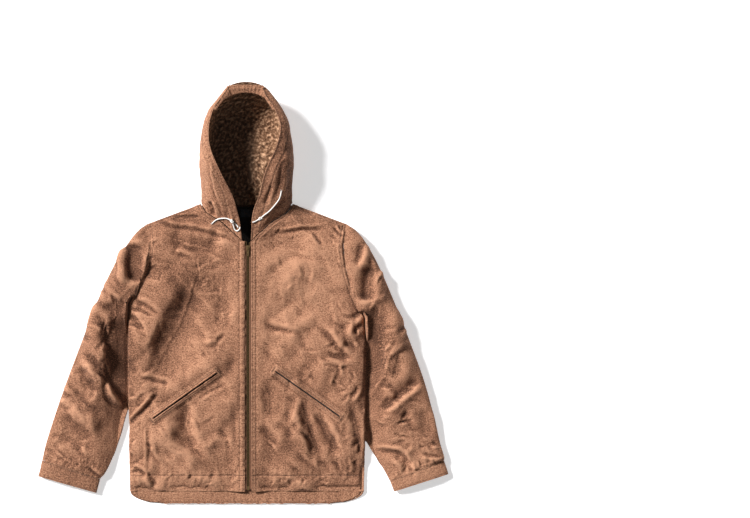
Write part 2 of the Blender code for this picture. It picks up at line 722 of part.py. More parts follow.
def outline_solid(name, outline, bottom, top, axis="z"):
    """A flat plate from a closed outline, between two levels along z, or along x for a side view (y, z)."""
    mesh = bmesh.new()
    layers = []
    for level in (bottom, top):
        layer = []
        for a, b in outline:
            point = (a, b, level) if axis == "z" else (level, a, b)
            layer.append(mesh.verts.new(Vector(point) * MM))
        layers.append(layer)
    low, high = layers
    count = len(outline)
    mesh.faces.new(low)
    mesh.faces.new(high[::-1])
    for i in range(count):
        k = (i + 1) % count
        mesh.faces.new([low[i], high[i], high[k], low[k]])
    return finish_mesh(name, mesh, BRASS)


def combine(first, other, operation):
    """Joins another solid to the first, or cuts it away."""
    change = first.modifiers.new("change", "BOOLEAN")
    change.operation, change.solver, change.object = operation, "EXACT", other
    bpy.context.view_layer.update()
    graph = bpy.context.evaluated_depsgraph_get()
    data = bpy.data.meshes.new_from_object(first.evaluated_get(graph))
    first.modifiers.clear()
    first.data = data
    bpy.data.objects.remove(other)


def build_slider():
    """Slider in two plates round the teeth, joined by the post between them, with a bridge for the pull."""
    y0, y1 = SLIDER_Y
    surface = surface_z(0, (y0 + y1) / 2)
    middle = surface - TAPE_DEPTH
    half = TOOTH_WALL / 2 + 0.45
    wide, narrow = SLIDER_WIDTH / 2, SLIDER_WIDTH / 2 - 1.4
    plate = [
        (-narrow, y0), (narrow, y0), (narrow + 0.5, y0 + 4), (wide, y1 - 3), (wide - 1, y1), (-wide + 1, y1),
        (-wide, y1 - 3), (-narrow - 0.5, y0 + 4),
    ]
    plate = [(x + ZIP_CENTRE, y) for x, y in plate]
    top = middle + half + SLIDER_WALL
    upper = outline_solid("upper", plate, middle + half, top)
    lower = outline_solid("lower", plate, middle - half - SLIDER_WALL, middle - half)
    post = [(-0.5, y1 - 2.6), (0.5, y1 - 2.6), (0.9, y1 - 0.4), (-0.9, y1 - 0.4)]
    post = [(x + ZIP_CENTRE, y) for x, y in post]
    post = outline_solid("post", post, middle - half - 0.6, middle + half + 0.6)
    pin = PULL_PIN_Y
    bridge = [
        (pin - 3.6, top - 0.5), (pin - 3.6, top + 1.6), (pin - 2.6, top + 2.9), (pin + 2.6, top + 2.9),
        (pin + 3.6, top + 1.6), (pin + 3.6, top - 0.5), (pin + 2.2, top - 0.5), (pin + 2.2, top + 1.2),
        (pin + 1.7, top + 1.8), (pin - 1.7, top + 1.8), (pin - 2.2, top + 1.2), (pin - 2.2, top - 0.5),
    ]
    bridge = outline_solid("bridge", bridge, ZIP_CENTRE - 0.8, ZIP_CENTRE + 0.8, axis="x")
    for piece in (bridge, post, lower):
        combine(upper, piece, "UNION")
    upper.name = "zip_slider"
    build_pull((ZIP_CENTRE, pin, top + 0.95))


def build_pull(pin):
    """Pull tab: a flat tag with a hole, and a slot at its top whose crossbar runs under the bridge."""
    x0, y0, z0 = pin
    half, slot, bar = PULL_WIDTH / 2, PULL_WIDTH / 2 - 1.1, 0.55
    tip = -PULL_LENGTH + 1.6
    outer = [(-half + 0.6, bar), (-half, bar - 0.6), (-half, tip + 1.9), (-half + 1.2, tip + 0.6), (0, tip)]
    outer += [(-x, y) for x, y in outer[:4][::-1]]
    window = [(-slot, -bar), (-slot, -5.0), (slot, -5.0), (slot, -bar)]
    turn = np.linspace(0, 2 * math.pi, 13)[:-1]
    hole = [(1.1 * math.cos(a), tip + 3.6 + 1.1 * math.sin(a)) for a in turn]
    plate = outline_solid("plate", outer, -0.5, 0.5)
    for ring in (window, hole):
        combine(plate, outline_solid("cutter", ring, -2, 2), "DIFFERENCE")
    plate.name = "zip_pull"
    plate.location = Vector((x0, y0, z0)) * MM


def build_pockets():
    for side, (start, end) in POCKETS.items():
        line = np.linspace(start, end, 12)
        across = plan_normals(line)
        for name, near in (("upper", 0.25), ("lower", -0.25 - JET_WIDTH)):
            grids = []
            for lift in (2.4, 0.8):
                grid = []
                for point, step in zip(line, across):
                    row = [point + step * (near + JET_WIDTH * t) for t in (0, 0.5, 1)]
                    grid.append([(SIDES[side] * x, y, surface_z(SIDES[side] * x, y) + lift) for x, y in row])
                grids.append(np.array(grid))
            wall(f"pocket_jet_{name}_{side}", *grids, CANVAS)


def build_label():
    (x0, y0), (x1, y1) = LABEL_BOX
    z = CLOTH + 0.5
    grids = [np.array([[(x, y, level) for x in (x0, x1)] for y in (y0, y1)]) for level in (z + 1.0, z)]
    wall("neck_label", *grids, LABEL)


def height_under(pieces, x, y):
    """Top of these pieces at this place, in millimetres."""
    highest = 0.0
    for piece in pieces:
        hit, place, *_ = piece.ray_cast(Vector((x * MM, y * MM, 0.3)), Vector((0, 0, -1)))
        if hit:
            highest = max(highest, place.z / MM)
    return highest


def build_cords():
    below = [obj for obj in bpy.data.objects if obj.name.startswith(("front_", "hood_side"))]
    for name, plan in CORD_PATHS.items():
        bends = np.array(plan, float)
        length = np.linalg.norm(np.diff(bends, axis=0), axis=1).sum()
        count = int(length / (2.4 * CORD_DIAMETER)) * 2 + 1
        path = through(bends, count)
        floor = np.array([height_under(below, x, y) for x, y in path])
        reach = np.array([floor[max(0, i - 1) : i + 2].max() for i in range(count)])
        z = np.convolve(np.pad(reach, 1, mode="edge"), [0.25, 0.5, 0.25], mode="valid")
        z = np.maximum(z, reach) + CORD_LIFT + CORD_DIAMETER / 2
        thickness = np.ones(count)
        if name in KNOT_AT:
            index, swell = KNOT_AT[name]
            spot = index * (count - 1) / (len(plan) - 1)
            thickness += (swell - 1) * np.maximum(0, 1 - (np.abs(np.arange(count) - spot) / 1.6) ** 2)
            z += (thickness - 1) * CORD_DIAMETER / 2
        curve = bpy.data.curves.new(name, "CURVE")
        curve.dimensions = "3D"
        curve.bevel_depth = CORD_DIAMETER / 2 * MM
        curve.bevel_resolution = 1
        curve.use_fill_caps = True
        spline = curve.splines.new("POLY")
        spline.points.add(count - 1)
        for point, (x, y), height, radius in zip(spline.points, path, z, thickness):
            point.co = (x * MM, y * MM, height * MM, 1.0)
            point.radius = radius
        cord = bpy.data.objects.new(name, curve)
        bpy.context.scene.collection.objects.link(cord)
        curve.materials.append(material_of(CORD))


def settle_on_origin():
    """Moves the garment so that the origin is under the middle of its box."""
    bpy.context.view_layer.update()
    graph = bpy.context.evaluated_depsgraph_get()
    corners = []
    for obj in bpy.data.objects:
        if obj.type != "CURVE":
            evaluated = obj.evaluated_get(graph)
            corners += [evaluated.matrix_world @ Vector(c) for c in evaluated.bound_box]
    corners = np.array(corners)
    low, high = corners.min(axis=0), corners.max(axis=0)
    shift = Vector((-(low[0] + high[0]) / 2, -(low[1] + high[1]) / 2, -low[2]))
    for obj in bpy.data.objects:
        obj.location += shift


def main():
    for obj in list(bpy.data.objects):
        bpy.data.objects.remove(obj)
    build_body()
    build_hem_facing()
    build_sleeves()
    build_hood()
    build_label()
    build_pockets()
    build_zip()
    build_slider()
    build_cords()
    settle_on_origin()


main()
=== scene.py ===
"""Looks for the hooded canvas work jacket, zipped up and laid flat on its back.

Lengths are in millimetres in the garment's own frame: x = 0 on the centre front and + towards the wearer's
left sleeve, y = 0 at the front hem and + towards the hood, z = 0 on the floor. place() turns them into the
row frame in metres.
"""

import json
import math

import bpy
import numpy as np
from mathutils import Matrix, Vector
from mathutils.bvhtree import BVHTree

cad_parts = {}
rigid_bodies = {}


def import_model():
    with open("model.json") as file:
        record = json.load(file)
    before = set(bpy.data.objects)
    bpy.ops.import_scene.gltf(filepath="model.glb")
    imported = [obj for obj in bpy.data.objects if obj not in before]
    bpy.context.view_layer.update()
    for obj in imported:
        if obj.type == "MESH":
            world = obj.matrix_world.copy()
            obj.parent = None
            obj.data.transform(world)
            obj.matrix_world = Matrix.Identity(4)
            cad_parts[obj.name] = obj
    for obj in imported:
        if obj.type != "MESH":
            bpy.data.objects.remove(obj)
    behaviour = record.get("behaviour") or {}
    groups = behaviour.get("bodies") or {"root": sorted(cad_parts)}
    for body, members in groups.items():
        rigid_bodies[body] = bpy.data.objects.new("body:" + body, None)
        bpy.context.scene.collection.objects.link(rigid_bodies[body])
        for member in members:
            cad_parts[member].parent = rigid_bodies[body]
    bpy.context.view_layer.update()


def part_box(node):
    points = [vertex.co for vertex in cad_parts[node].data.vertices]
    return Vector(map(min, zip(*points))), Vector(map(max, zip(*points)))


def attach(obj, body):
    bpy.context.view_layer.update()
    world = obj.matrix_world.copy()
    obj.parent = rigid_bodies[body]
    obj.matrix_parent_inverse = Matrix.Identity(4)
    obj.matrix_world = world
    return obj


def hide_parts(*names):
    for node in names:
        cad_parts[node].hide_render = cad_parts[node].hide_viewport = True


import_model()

MM = 0.001
SIDES = {"left": 1.0, "right": -1.0}
FRONT_EDGE = {"left": 11.5, "right": -4.5}
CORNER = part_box("front_left")[0] / MM
ORIGIN = np.array([CORNER.x - FRONT_EDGE["left"], CORNER.y, 0.0])

# ---------------------------------------------------------------- sizes that the CAD source has too

CLOTH = 2.0
SEAM_GAP = 0.7
PILE = 5.0
LINING_GAP = 2.0
TAIL_DROP = 28.0
TAIL_CORNER = 72.0
TAIL_ROUND = 0.62
HEM_DEPTH = 75.0
ZIP_TOP = 584.0
ZIP_BOTTOM = 5.0
ZIP_CENTRE = 3.2
EDGE_POWER = 6.0
CUFF_DEPTH = 34.0
CENTRE_STRIP = 36.0
BACK_NECK = 668.0
SIDE_ROWS = [
    # share, half_width, front_z
    (0.00, 272, 13), (0.09, 273, 19), (0.27, 275, 28), (0.42, 275, 33), (0.62, 275, 38), (0.84, 275, 40),
    (1.00, 274, 40),
]
SEAM_Z = (7.0, 23.0)
BACK_LIFT = 17.0
EMERGES = {"left": 112.0, "right": 186.0}
SEAM_RISE = (62.0, 100.0)
LIFT_RISE = (40.0, 76.0)
ARMHOLE_DROP = 0.3
LIFT_ACROSS = (88.0, 52.0)
EDGE_TURN = 0.12
ARMHOLE_ROWS = [
    # share, out, front_edge_z, front_z, back_edge_z
    (0.00, 274, 23, 40, 22), (0.12, 261, 32, 40, 12), (0.28, 246, 37, 40, 4), (0.55, 231, 38, 40, 1),
    (0.78, 226, 35, 39, 1), (0.92, 229, 26, 37, 6), (1.00, 232, 16, 35, 14),
]
ARMPIT = {"left": 405.0, "right": 440.0}
SHOULDER_TIP = 624.0
SHOULDER_ROWS = [
    # y, out, seam_z, front_z
    (624, 232, 16, 35), (648, 168, 17, 33), (664, 125, 18, 28), (671, 109, 19, 24),
]
NECK_ROWS = [
    # y, out
    (584, 11.5), (593, 20), (603, 32), (616, 46), (630, 63), (641, 81), (653, 97), (671, 107),
]
TAPE_WIDTH = 15.0
TAPE_DEPTH = 3.2
TOOTH_WIDTH = 2.8
SLIDER_Y = (562.0, 574.0)
POCKETS = {"left": ((66.5, 282), (217, 176)), "right": ((69, 277), (218, 171))}
JET_WIDTH = 8.0
LABEL_BOX = ((-15.0, 640.0), (13.0, 658.0))
SLEEVE_ROWS = {
    "left": [
        # along, outer_x, outer_y, inner_x, inner_y, loft, inner_z
        (0.00, 232, 624, 274, 405, 39, 20), (0.03, 248, 614, 284, 399, 42, 14),
        (0.07, 267, 595, 288, 386, 44, 10), (0.16, 303, 535, 272, 342, 47, 8),
        (0.34, 341, 449, 254, 270, 46, 8), (0.52, 380, 350, 256, 200, 43, 8),
        (0.68, 414, 256, 266, 140, 37, 8), (0.80, 434, 183, 286, 102, 31, 10),
        (0.92, 452, 107, 318, 52, 26, 11), (1.00, 460, 74, 332, 26, 23, 10),
    ],
    "right": [
        (0.00, 232, 624, 274, 440, 39, 20), (0.03, 247, 614, 284, 434, 42, 14),
        (0.07, 266, 593, 288, 421, 44, 10), (0.16, 306, 533, 272, 376, 47, 8),
        (0.34, 345, 451, 255, 310, 46, 8), (0.52, 392, 330, 259, 240, 43, 8),
        (0.66, 420, 256, 276, 192, 37, 9), (0.80, 448, 176, 294, 132, 31, 11),
        (0.92, 470, 105, 320, 62, 26, 11), (1.00, 477, 74, 341, 30, 23, 10),
    ],
}
CUFF_EDGE = {"left": ((470, 41), (343, 0)), "right": ((487, 36), (350, -3))}
CUFF_LOFT = 21.0
CUFF_INNER_Z = 9.0
BACK_SEAM_ACROSS = 0.42
SLEEVE_BOW = (21.0, 0.3)
OUTER_EDGE_SHARE = 0.42
CREST_POWERS = (0.75, 0.45)
CEILING_GAP = 2.0
CEILING_LOOK = (3.0, 24.0)
NO_CEILING = 1000.0
HOOD_ROWS = [
    # seam_y, seam_z, low, wide, high, rim_right, rim_left
    (668.6, 0, (76, 671, 4), (107.5, 673, 20), (63, 627.5, 33), (6, 590, 36), (8, 590, 36)),
    (700, 0, (80, 700, 4), (106, 700, 30), (74, 668, 54), (19, 645, 50), (15, 650, 50)),
    (736, 0, (82, 735, 3), (108, 730, 38), (80, 712, 71), (32, 690, 69), (30, 690, 69)),
    (776, 0, (84, 773, 4), (110, 764, 44), (90, 754, 85), (58, 742, 87), (45, 746, 87)),
    (816, 0, (84, 813, 5), (109, 806, 48), (99, 800, 83), (82, 798, 95), (69, 798, 96)),
    (856, 1, (80, 854, 8), (101, 848, 52), (97, 845, 82), (86, 845, 94), (80, 847, 95)),
    (896, 8, (72, 893, 22), (87, 886, 58), (84, 885, 82), (75, 889, 91), (67, 889, 92)),
    (930, 28, (60, 923, 44), (66, 916, 66), (64, 916, 80), (55, 920, 87), (46, 919, 88)),
    (943, 56, (48, 939, 64), (52, 934, 74), (50, 933, 80), (44, 935, 84), (39, 935, 84)),
    (946, 80, (38, 945, 80.4), (38.8, 944, 81), (39.4, 943, 81.6), (40, 942, 82), (39, 942, 82)),
]
HOOD_LINES = 16
HOOD_INSIDE = (0, 780, 60)
CROWN = (0.6, 0.3, 7.0, 2.0)
CORD_DIAMETER = 3.0
CORD_PATHS = {
    "cord_right": [
        (-14.5, 616.5), (-16.8, 611.0), (-22.0, 607.6), (-27.2, 611.2), (-29.9, 619.5), (-33.6, 629.6),
        (-43.0, 635.6), (-53.0, 636.9), (-64.0, 635.6), (-72.0, 632.2), (-80.0, 625.4),
    ],
    "cord_right_return": [(-28.4, 626.0), (-24.0, 622.6), (-20.4, 618.4), (-19.6, 615.4)],
    "cord_left": [
        (14.0, 627.5), (20.0, 629.3), (26.0, 632.8), (32.0, 636.2), (41.0, 643.8), (54.0, 653.8),
        (66.5, 667.6), (75.4, 679.2), (79.2, 688.0), (81.6, 699.4),
    ],
}

# ---------------------------------------------------------------- sizes of the visible pieces alone

# Points across and along the pieces' grids
FRONT_COLUMNS = 104
BACK_COLUMN_COUNT = 84
HEM_FACING_COLUMNS = 78  # how many of the back's the turned-up hem takes, which stops short of its seam
RING = 96  # half the points round a sleeve
HOOD_ROW_COUNT = 150
HOOD_ACROSS = 96
LINING_ROWS = 150
LINING_SIDE = 84
LINING_CENTRE = 36

LOWEST = 0.05  # how far the sleeves, cuffs and hood stay above the floor
SEAM_CLOSED = 0.02  # how near a piece's edge comes to a seam's line, where the solids stay apart
TUCK = 0.7  # how far a sleeve's edge is drawn in under the armhole's
HEM_STITCH = 38.0
EDGE_STITCH = {"left": (2.8, 9.5), "right": (2.8, 13.0)}
FAR = 5000.0
KEY_WAY = (-0.82, 0.50, 0.68)
HIGHEST_FOLD = 9.0
DEEPEST_FOLD = 26.0
HEM_DIP = 6.0  # how far the front's hem drops towards the back
INSIDE_ROOM = 14.0  # how much more room there is between front and back inboard than at a front's edge
EDGE_OVERLAP = 6.0  # how far a front's edge may reach below the back's underside
POCKET_FRAME = (7.0, 12.5)  # how far the stitched frame reaches past the opening's ends, and to each side
SLEEVE_GIVE = 0.5  # how much of a sleeve's loft its deepest crease may take
SLEEVE_AXIS = {"left": ((262, 505), (396, 45)), "right": ((262, 515), (408, 45))}
CASING = 25.0  # from the rim to the stitching of the cord's casing
FACING_DEPTH = 11.0  # canvas inside the rim, before the sherpa starts
ARCH_CENTRE = (0.0, 866.0)
ARCH_RADII = (72.0, 61.0)
# painted shade: below LINING_LIT the hood's lining is painted darker and darker, over LINING_FADE
LINING_LIT = 50.0  # below this height the lining is darkened, more and more
LINING_FADE = 48.0  # over this depth
SLIT = 1.4  # half the width of a pocket's opening
TOOTH_PITCH = 2.3

# The ceiling over a visible sleeve beside the body and at the armpit. Here the sleeve leaves the CAD's form:
# its ceiling starts further out, is steeper, and isn't lowered, raised or blended.
CEILING_REACH = 1.0
CEILING_SLOPE = 0.60
BESIDE_BODY = 11.0  # how much lower the ceiling is from the side seam outwards
ARMPIT_FADE = 80.0  # from this far below the armpit the ceiling is raised, by ARMPIT_LIFT at the armpit
ARMPIT_LIFT = 56.0
CEILING_END = 14.0  # from this far above the armpit there is no ceiling
CEILING_BLEND = 14.0  # how gently a sleeve bends over to its ceiling
SLEEVE_LENGTH = 600.0  # about: it spaces the rings, and says how far each is from an end
SLEEVE_JOIN = 0.03  # the share of its length over which a sleeve takes the armhole's shape
SLEEVE_EASE = 3.0  # how gently a sleeve's folds stop at their greatest depth
UNDERARM_HIDDEN = 70.0  # sleeve stitches start this far below the armpit
UNDERARM_TUCK = (19.0, 0.065, 0.05)  # how far the cloth is drawn in, and at and over what share of the length

BRAID = 0.07  # how far the braid stands up, as a share of the radius
KNOT_AT = {"cord_right": 5, "cord_left": 3}  # the point of the path that each knot sits on

# ---------------------------------------------------------------- camera

VIEW_CENTRE = (298.6, 542.4)
VIEW_WIDTH = 1750.0
LENS = 200.0
SENSOR = 36.0


def place(points):
    """Garment millimetres to row-frame metres."""
    return (np.asarray(points, float) + ORIGIN) * MM


def add_object(name, data):
    """A new object, in the scene."""
    made = bpy.data.objects.new(name, data)
    bpy.context.scene.collection.objects.link(made)
    return made


def add_camera():
    """A long lens straight above the garment, framed as the photograph is."""
    data = bpy.data.cameras.new("camera")
    data.lens, data.sensor_width = LENS, SENSOR
    data.clip_end = 100.0
    camera = add_object("camera", data)
    camera.location = Vector(place((*VIEW_CENTRE, VIEW_WIDTH * LENS / SENSOR)))
    bpy.context.scene.camera = camera


add_camera()

# ---------------------------------------------------------------- shapes from tables


def ease(t):
    """0 to 1 with a gentle start and end, and flat outside."""
    t = np.clip(t, 0.0, 1.0)
    return t * t * (3 - 2 * t)


def nearest(*distances):
    """The least of several distances, place by place."""
    found = distances[0]
    for distance in distances[1:]:
        found = np.minimum(found, distance)
    return found


def unit(vectors, smallest=1e-9):
    """Vectors scaled to a length of one."""
    return vectors / np.maximum(np.linalg.norm(vectors, axis=-1, keepdims=True), smallest)


def raised_to(grid, lowest):
    """Lifts a grid's points to at least this height."""
    grid[..., 2] = np.maximum(grid[..., 2], lowest)


def smooth_rows(rows, keys):
    """The table's columns at these values of its first column, on smooth curves with no overshoot."""
    table = np.array(rows, float)
    x, y = table[:, 0], table[:, 1:]
    keys = np.clip(np.atleast_1d(np.asarray(keys, float)), x[0], x[-1])
    h = np.diff(x)[:, None]
    d = np.diff(y, axis=0) / h
    slope = np.zeros_like(y)
    slope[0], slope[-1] = d[0], d[-1]
    total = d[:-1] + d[1:]
    total = np.where(total == 0, 1.0, total)
    slope[1:-1] = np.where(d[:-1] * d[1:] > 0, 2 * d[:-1] * d[1:] / total, 0.0)
    i = np.clip(np.searchsorted(x, keys) - 1, 0, len(x) - 2)
    s = ((keys - x[i]) / h[i, 0])[:, None]
    return (
        (1 + 2 * s) * (1 - s) ** 2 * y[i]
        + s * (1 - s) ** 2 * h[i] * slope[i]
        + s**2 * (3 - 2 * s) * y[i + 1]
        + s**2 * (s - 1) * h[i] * slope[i + 1]
    )


def through(points, count):
    """count points, evenly spaced by index, on a smooth curve through these points."""
    points = np.array(points, float)
    padded = np.concatenate([2 * points[:1] - points[1:2], points, 2 * points[-1:] - points[-2:-1]])
    t = np.linspace(0, len(points) - 1, count) if np.isscalar(count) else np.asarray(count, float)
    i = np.minimum(t.astype(int), len(points) - 2)
    s = (t - i).reshape((-1,) + (1,) * (points.ndim - 1))
    a, b, c, d = (padded[i + k] for k in range(4))
    return 0.5 * (2 * b + (c - a) * s + (2 * a - 5 * b + 4 * c - d) * s**2 + (3 * b - a - 3 * c + d) * s**3)


def walk(path):
    """Distance along a path at each of its points."""
    step = np.linalg.norm(np.diff(np.asarray(path, float), axis=0), axis=1)
    return np.concatenate([[0.0], np.cumsum(step)])


def along(path, stops):
    """Points on a path at these distances along it."""
    path, walked = np.asarray(path, float), walk(path)
    return np.stack([np.interp(stops, walked, path[:, k]) for k in range(path.shape[1])], axis=1)


def steps_to(*stops):
    """Values from each stop (value, spacing) up to the next."""
    out = []
    for (a, step), (b, _) in zip(stops[:-1], stops[1:]):
        n = max(1, int(round((b - a) / step)))
        out += list(np.linspace(a, b, n + 1)[:-1])
    return np.array(out + [stops[-1][0]])


# Distances from a border at which a panel has extra points, so that its edge is round
ROLL = np.array([0.0, 0.13, 0.5, 1.0, 1.9, 3.2])


def rolled(length, count):
    """count distances along a length, with both ends rolled."""
    roll = ROLL * min(1.0, length / (4 * ROLL[-1]))
    middle = np.linspace(roll[-1], length - roll[-1], count - 2 * len(roll) + 2)
    return np.concatenate([roll[:-1], middle, (length - roll)[::-1][1:]])


def noise(x, y, size, seed):
    """Smooth noise of about -1 to 1, whose lumps are about this size."""
    rng = np.random.default_rng(seed)
    table = rng.permutation(256)
    turn = rng.uniform(0, 2 * math.pi, 256)
    u, v = np.asarray(x, float) / size + 37.3, np.asarray(y, float) / size + 11.7
    i, j = np.floor(u).astype(int), np.floor(v).astype(int)
    u, v = u - i, v - j
    ramp_u, ramp_v = (t**3 * (t * (t * 6 - 15) + 10) for t in (u, v))
    total = 0.0
    for a in (0, 1):
        for b in (0, 1):
            k = table[(i + a + table[(j + b) % 256]) % 256]
            part = np.cos(turn[k]) * (u - a) + np.sin(turn[k]) * (v - b)
            total = total + part * (ramp_u if a else 1 - ramp_u) * (ramp_v if b else 1 - ramp_v)
    return 1.5 * total


# ---------------------------------------------------------------- the body's form


def body_row(side, y):
    """One row for each height: distance out to the edge, its height, the front's height, the back edge's
    height, and how far the back panel is lifted beside the sleeve."""
    y = np.atleast_1d(np.asarray(y, float))
    armpit = ARMPIT[side]
    out, seam, front = smooth_rows(SHOULDER_ROWS, y).T
    top = np.stack([out, seam, front, seam, np.zeros_like(y)], 1)
    share = (y - armpit) / (SHOULDER_TIP - armpit)
    out, edge, front, back = smooth_rows(ARMHOLE_ROWS, share).T
    middle = np.stack([out, edge, front, back, BACK_LIFT * (1 - ease(share / ARMHOLE_DROP))], 1)
    out, front = smooth_rows(SIDE_ROWS, y / armpit).T
    above = y - EMERGES[side]
    seam = SEAM_Z[0] + (SEAM_Z[1] - SEAM_Z[0]) * ease((above + SEAM_RISE[0]) / SEAM_RISE[1])
    lift = BACK_LIFT * ease((above + LIFT_RISE[0]) / LIFT_RISE[1])
    low = np.stack([out, seam, front, seam, lift], 1)
    return np.where((y >= SHOULDER_TIP)[:, None], top, np.where((y >= armpit)[:, None], middle, low))


def neck_out(y):
    """How far from the centre the neck's edge is, or 0 below the zip's top."""
    return np.where(np.asarray(y) < ZIP_TOP, 0.0, smooth_rows(NECK_ROWS, y)[:, 0])


def front_height(across, edge, full):
    """Height of the front at this share of the way out: nearly level, and rounded down at its edge."""
    return edge + (full - edge) * np.sqrt(np.maximum(0.0, 1 - across**EDGE_POWER))


def surface_z(x, y):
    """Height of the front's outer surface over these points, before its creases."""
    x, y = np.atleast_1d(np.asarray(x, float)), np.atleast_1d(np.asarray(y, float))
    found = {s: body_row(s, y.ravel()).reshape(y.shape + (5,)) for s in SIDES}
    row = np.where((x > 0)[..., None], found["left"], found["right"])
    return front_height(np.minimum(1.0, np.abs(x) / row[..., 0]), row[..., 1], row[..., 2])


def edge_rise(across):
    """0 to 1 over the last of the way out, where the back panel turns up to its seam."""
    turn = np.clip(1 - (1 - across) / EDGE_TURN, 0.0, 1.0)
    return 1 - np.sqrt(1 - turn**2)


def underside(side, x, y):
    """Height of the back panel's underside at this distance out from the centre."""
    out, _, _, edge, lift = np.moveaxis(body_row(side, np.ravel(y)).reshape(np.shape(y) + (5,)), -1, 0)
    raised = lift * ease((x - (out - LIFT_ACROSS[0])) / LIFT_ACROSS[1])
    return raised + (edge - SEAM_GAP - raised) * edge_rise(x / out)


def wobble(side, y):
    """The body's side isn't quite straight: how far it stands out here."""
    seed = 41 if side == "left" else 42
    return 1.7 * noise(y, 0 * y, 62, seed) + 0.8 * noise(y, 0 * y, 24, seed + 5)


def front_grid(side):
    """The front panel's outer surface: a row for each height, from its centre edge out to its seam."""
    sign = SIDES[side]
    ys = np.concatenate([ROLL[:-1], steps_to((ROLL[-1], 2.8), (35, 1.1), (42, 2.8), (600, 1.9), (671, 1))])
    rows = body_row(side, ys)
    fine = 1 - (1 - np.linspace(0, 1, 600)) ** 2.2
    grid = []
    for y, neck, (out, edge, full, _, _), swell in zip(ys, neck_out(ys), rows, wobble(side, ys)):
        start = max(neck, FRONT_EDGE[side] * sign) if y >= ZIP_TOP else FRONT_EDGE[side] * sign
        x = start + (out - start) * fine
        across = np.maximum(0, x) / out
        z = front_height(across, edge, full)
        line = np.stack([sign * (x + swell * across**8 * (y < SHOULDER_TIP - 30)), np.full(600, y), z], 1)
        grid.append(along(line, rolled(walk(line)[-1], FRONT_COLUMNS)))
    return np.array(grid)


def back_grid(side):
    """The back panel's outer surface, which is its underside, from the tail up to the neck."""
    sign = SIDES[side]
    drops = np.sin(np.linspace(math.pi / 2, 0, 13)[:-1])
    top = BACK_NECK - SEAM_CLOSED
    ys = steps_to((2.8, 4.0), (top, 1))
    half, seam, *_ = body_row(side, 0)[0]
    fine = np.linspace(0, 1, 500)
    grid, border = [], []

    def add(out, y, rise, from_tail):
        x = SEAM_CLOSED + (out - SEAM_CLOSED) * fine
        line = np.stack([sign * x, np.full(500, y), rise(x)], 1)
        length = walk(line)[-1]
        stops = rolled(length, BACK_COLUMN_COUNT)
        grid.append(along(line, stops))
        border.append(nearest(stops, length - stops, from_tail))

    roll = [0.0, 0.13, 0.5, 1.0, 1.9]
    for k, drop in enumerate(drops):
        out = half - TAIL_CORNER * (1 - (1 - drop**2) ** TAIL_ROUND)
        lift = (seam - SEAM_GAP) * (1 - drop)
        y = -TAIL_DROP * drop
        if k == 0:
            for near in roll:
                add(out, y + near, lambda x: lift * edge_rise((x - SEAM_CLOSED) / (out - SEAM_CLOSED)), near)
        elif TAIL_DROP + y > roll[-1] + 0.6:
            add(out, y, lambda x: lift * edge_rise((x - SEAM_CLOSED) / (out - SEAM_CLOSED)), TAIL_DROP + y)
    swells = wobble(side, ys)
    for y, (out, *_), swell in zip(ys, body_row(side, ys), swells):
        add(out, y, lambda x: np.maximum(0.0, underside(side, x, np.full_like(x, y))), 99.0)
        across = np.abs(grid[-1][:, 0]) / out
        grid[-1][:, 0] += sign * swell * across**8 * (y < SHOULDER_TIP - 30)
        border[-1] = np.minimum(border[-1], top - y)
    return np.array(grid), np.array(border)


# ---------------------------------------------------------------- the sleeves' form


def sleeve_ceiling(side, x, y):
    """How high the sleeve may reach: under the back panel, and clear of it outboard of the side seam."""
    out = body_row(side, y.ravel())[:, 0].reshape(y.shape)
    under_seam = underside(side, out, y) - CEILING_GAP
    inboard, below = CEILING_LOOK
    inside = np.minimum(under_seam, underside(side, np.minimum(x, out) - inboard, y - below) - CEILING_GAP)
    beyond = np.maximum(0.0, x - out - CEILING_REACH)
    armpit = ARMPIT_LIFT * ease((y - ARMPIT[side] + ARMPIT_FADE) / ARMPIT_FADE) * ease((x - out + 2) / 8)
    found = inside + CEILING_SLOPE * beyond - BESIDE_BODY * ease((x - out + 3) / 6) + armpit
    return np.where(y > ARMPIT[side] + CEILING_END, NO_CEILING, found)


def smooth_least(a, b, blend):
    """The lesser of two fields, rounded where they cross."""
    t = np.clip(0.5 + 0.5 * (b - a) / blend, 0.0, 1.0)
    return b * (1 - t) + a * t - blend * t * (1 - t)


def ring_round(side, rows, bows, us, top):
    """Rings of points round the sleeve, one for each row, at these shares across from the inner edge."""
    outer, inner = rows[:, None, 0:2], rows[:, None, 2:4]
    loft, inner_z = rows[:, None, 4], rows[:, None, 5]
    chord = outer - inner
    away = np.stack([-chord[..., 1], chord[..., 0]], -1)
    away /= np.linalg.norm(away, axis=-1, keepdims=True)
    crest = np.sqrt(np.maximum(0.0, 1 - (2 * us - 1) ** 2))
    plan = inner + chord * us[None, :, None] + away * (bows[:, None] * np.sin(math.pi * us))[..., None]
    x, y = plan[..., 0], plan[..., 1]
    base = inner_z + (OUTER_EDGE_SHARE * loft - inner_z) * us
    full = base + (loft - base) * crest ** CREST_POWERS[0]
    over = smooth_least(full, sleeve_ceiling(side, x, y), CEILING_BLEND)
    under = base * (1 - crest ** CREST_POWERS[1])
    out = body_row(side, y.ravel())[:, 0].reshape(y.shape)
    over = np.where(x > out + 1, np.maximum(over, under + 1.0), over)
    return np.stack([x, y, np.where(top, over, under)], -1)


def ring_shares():
    half = 0.5 * (1 - np.cos(math.pi * np.arange(RING + 1) / RING))
    half = 0.55 * half + 0.45 * np.linspace(0, 1, RING + 1)
    us = np.concatenate([half[:-1], half[:0:-1]])
    return us, np.arange(2 * RING) < RING


def armhole_ring(side, us, top):
    armpit = ARMPIT[side]
    y = armpit + us * (SHOULDER_TIP - armpit)
    out, front, _, back = smooth_rows(ARMHOLE_ROWS, us).T
    return np.stack([out - TUCK, y, np.where(top, front, np.maximum(0.0, back - SEAM_GAP))], -1)


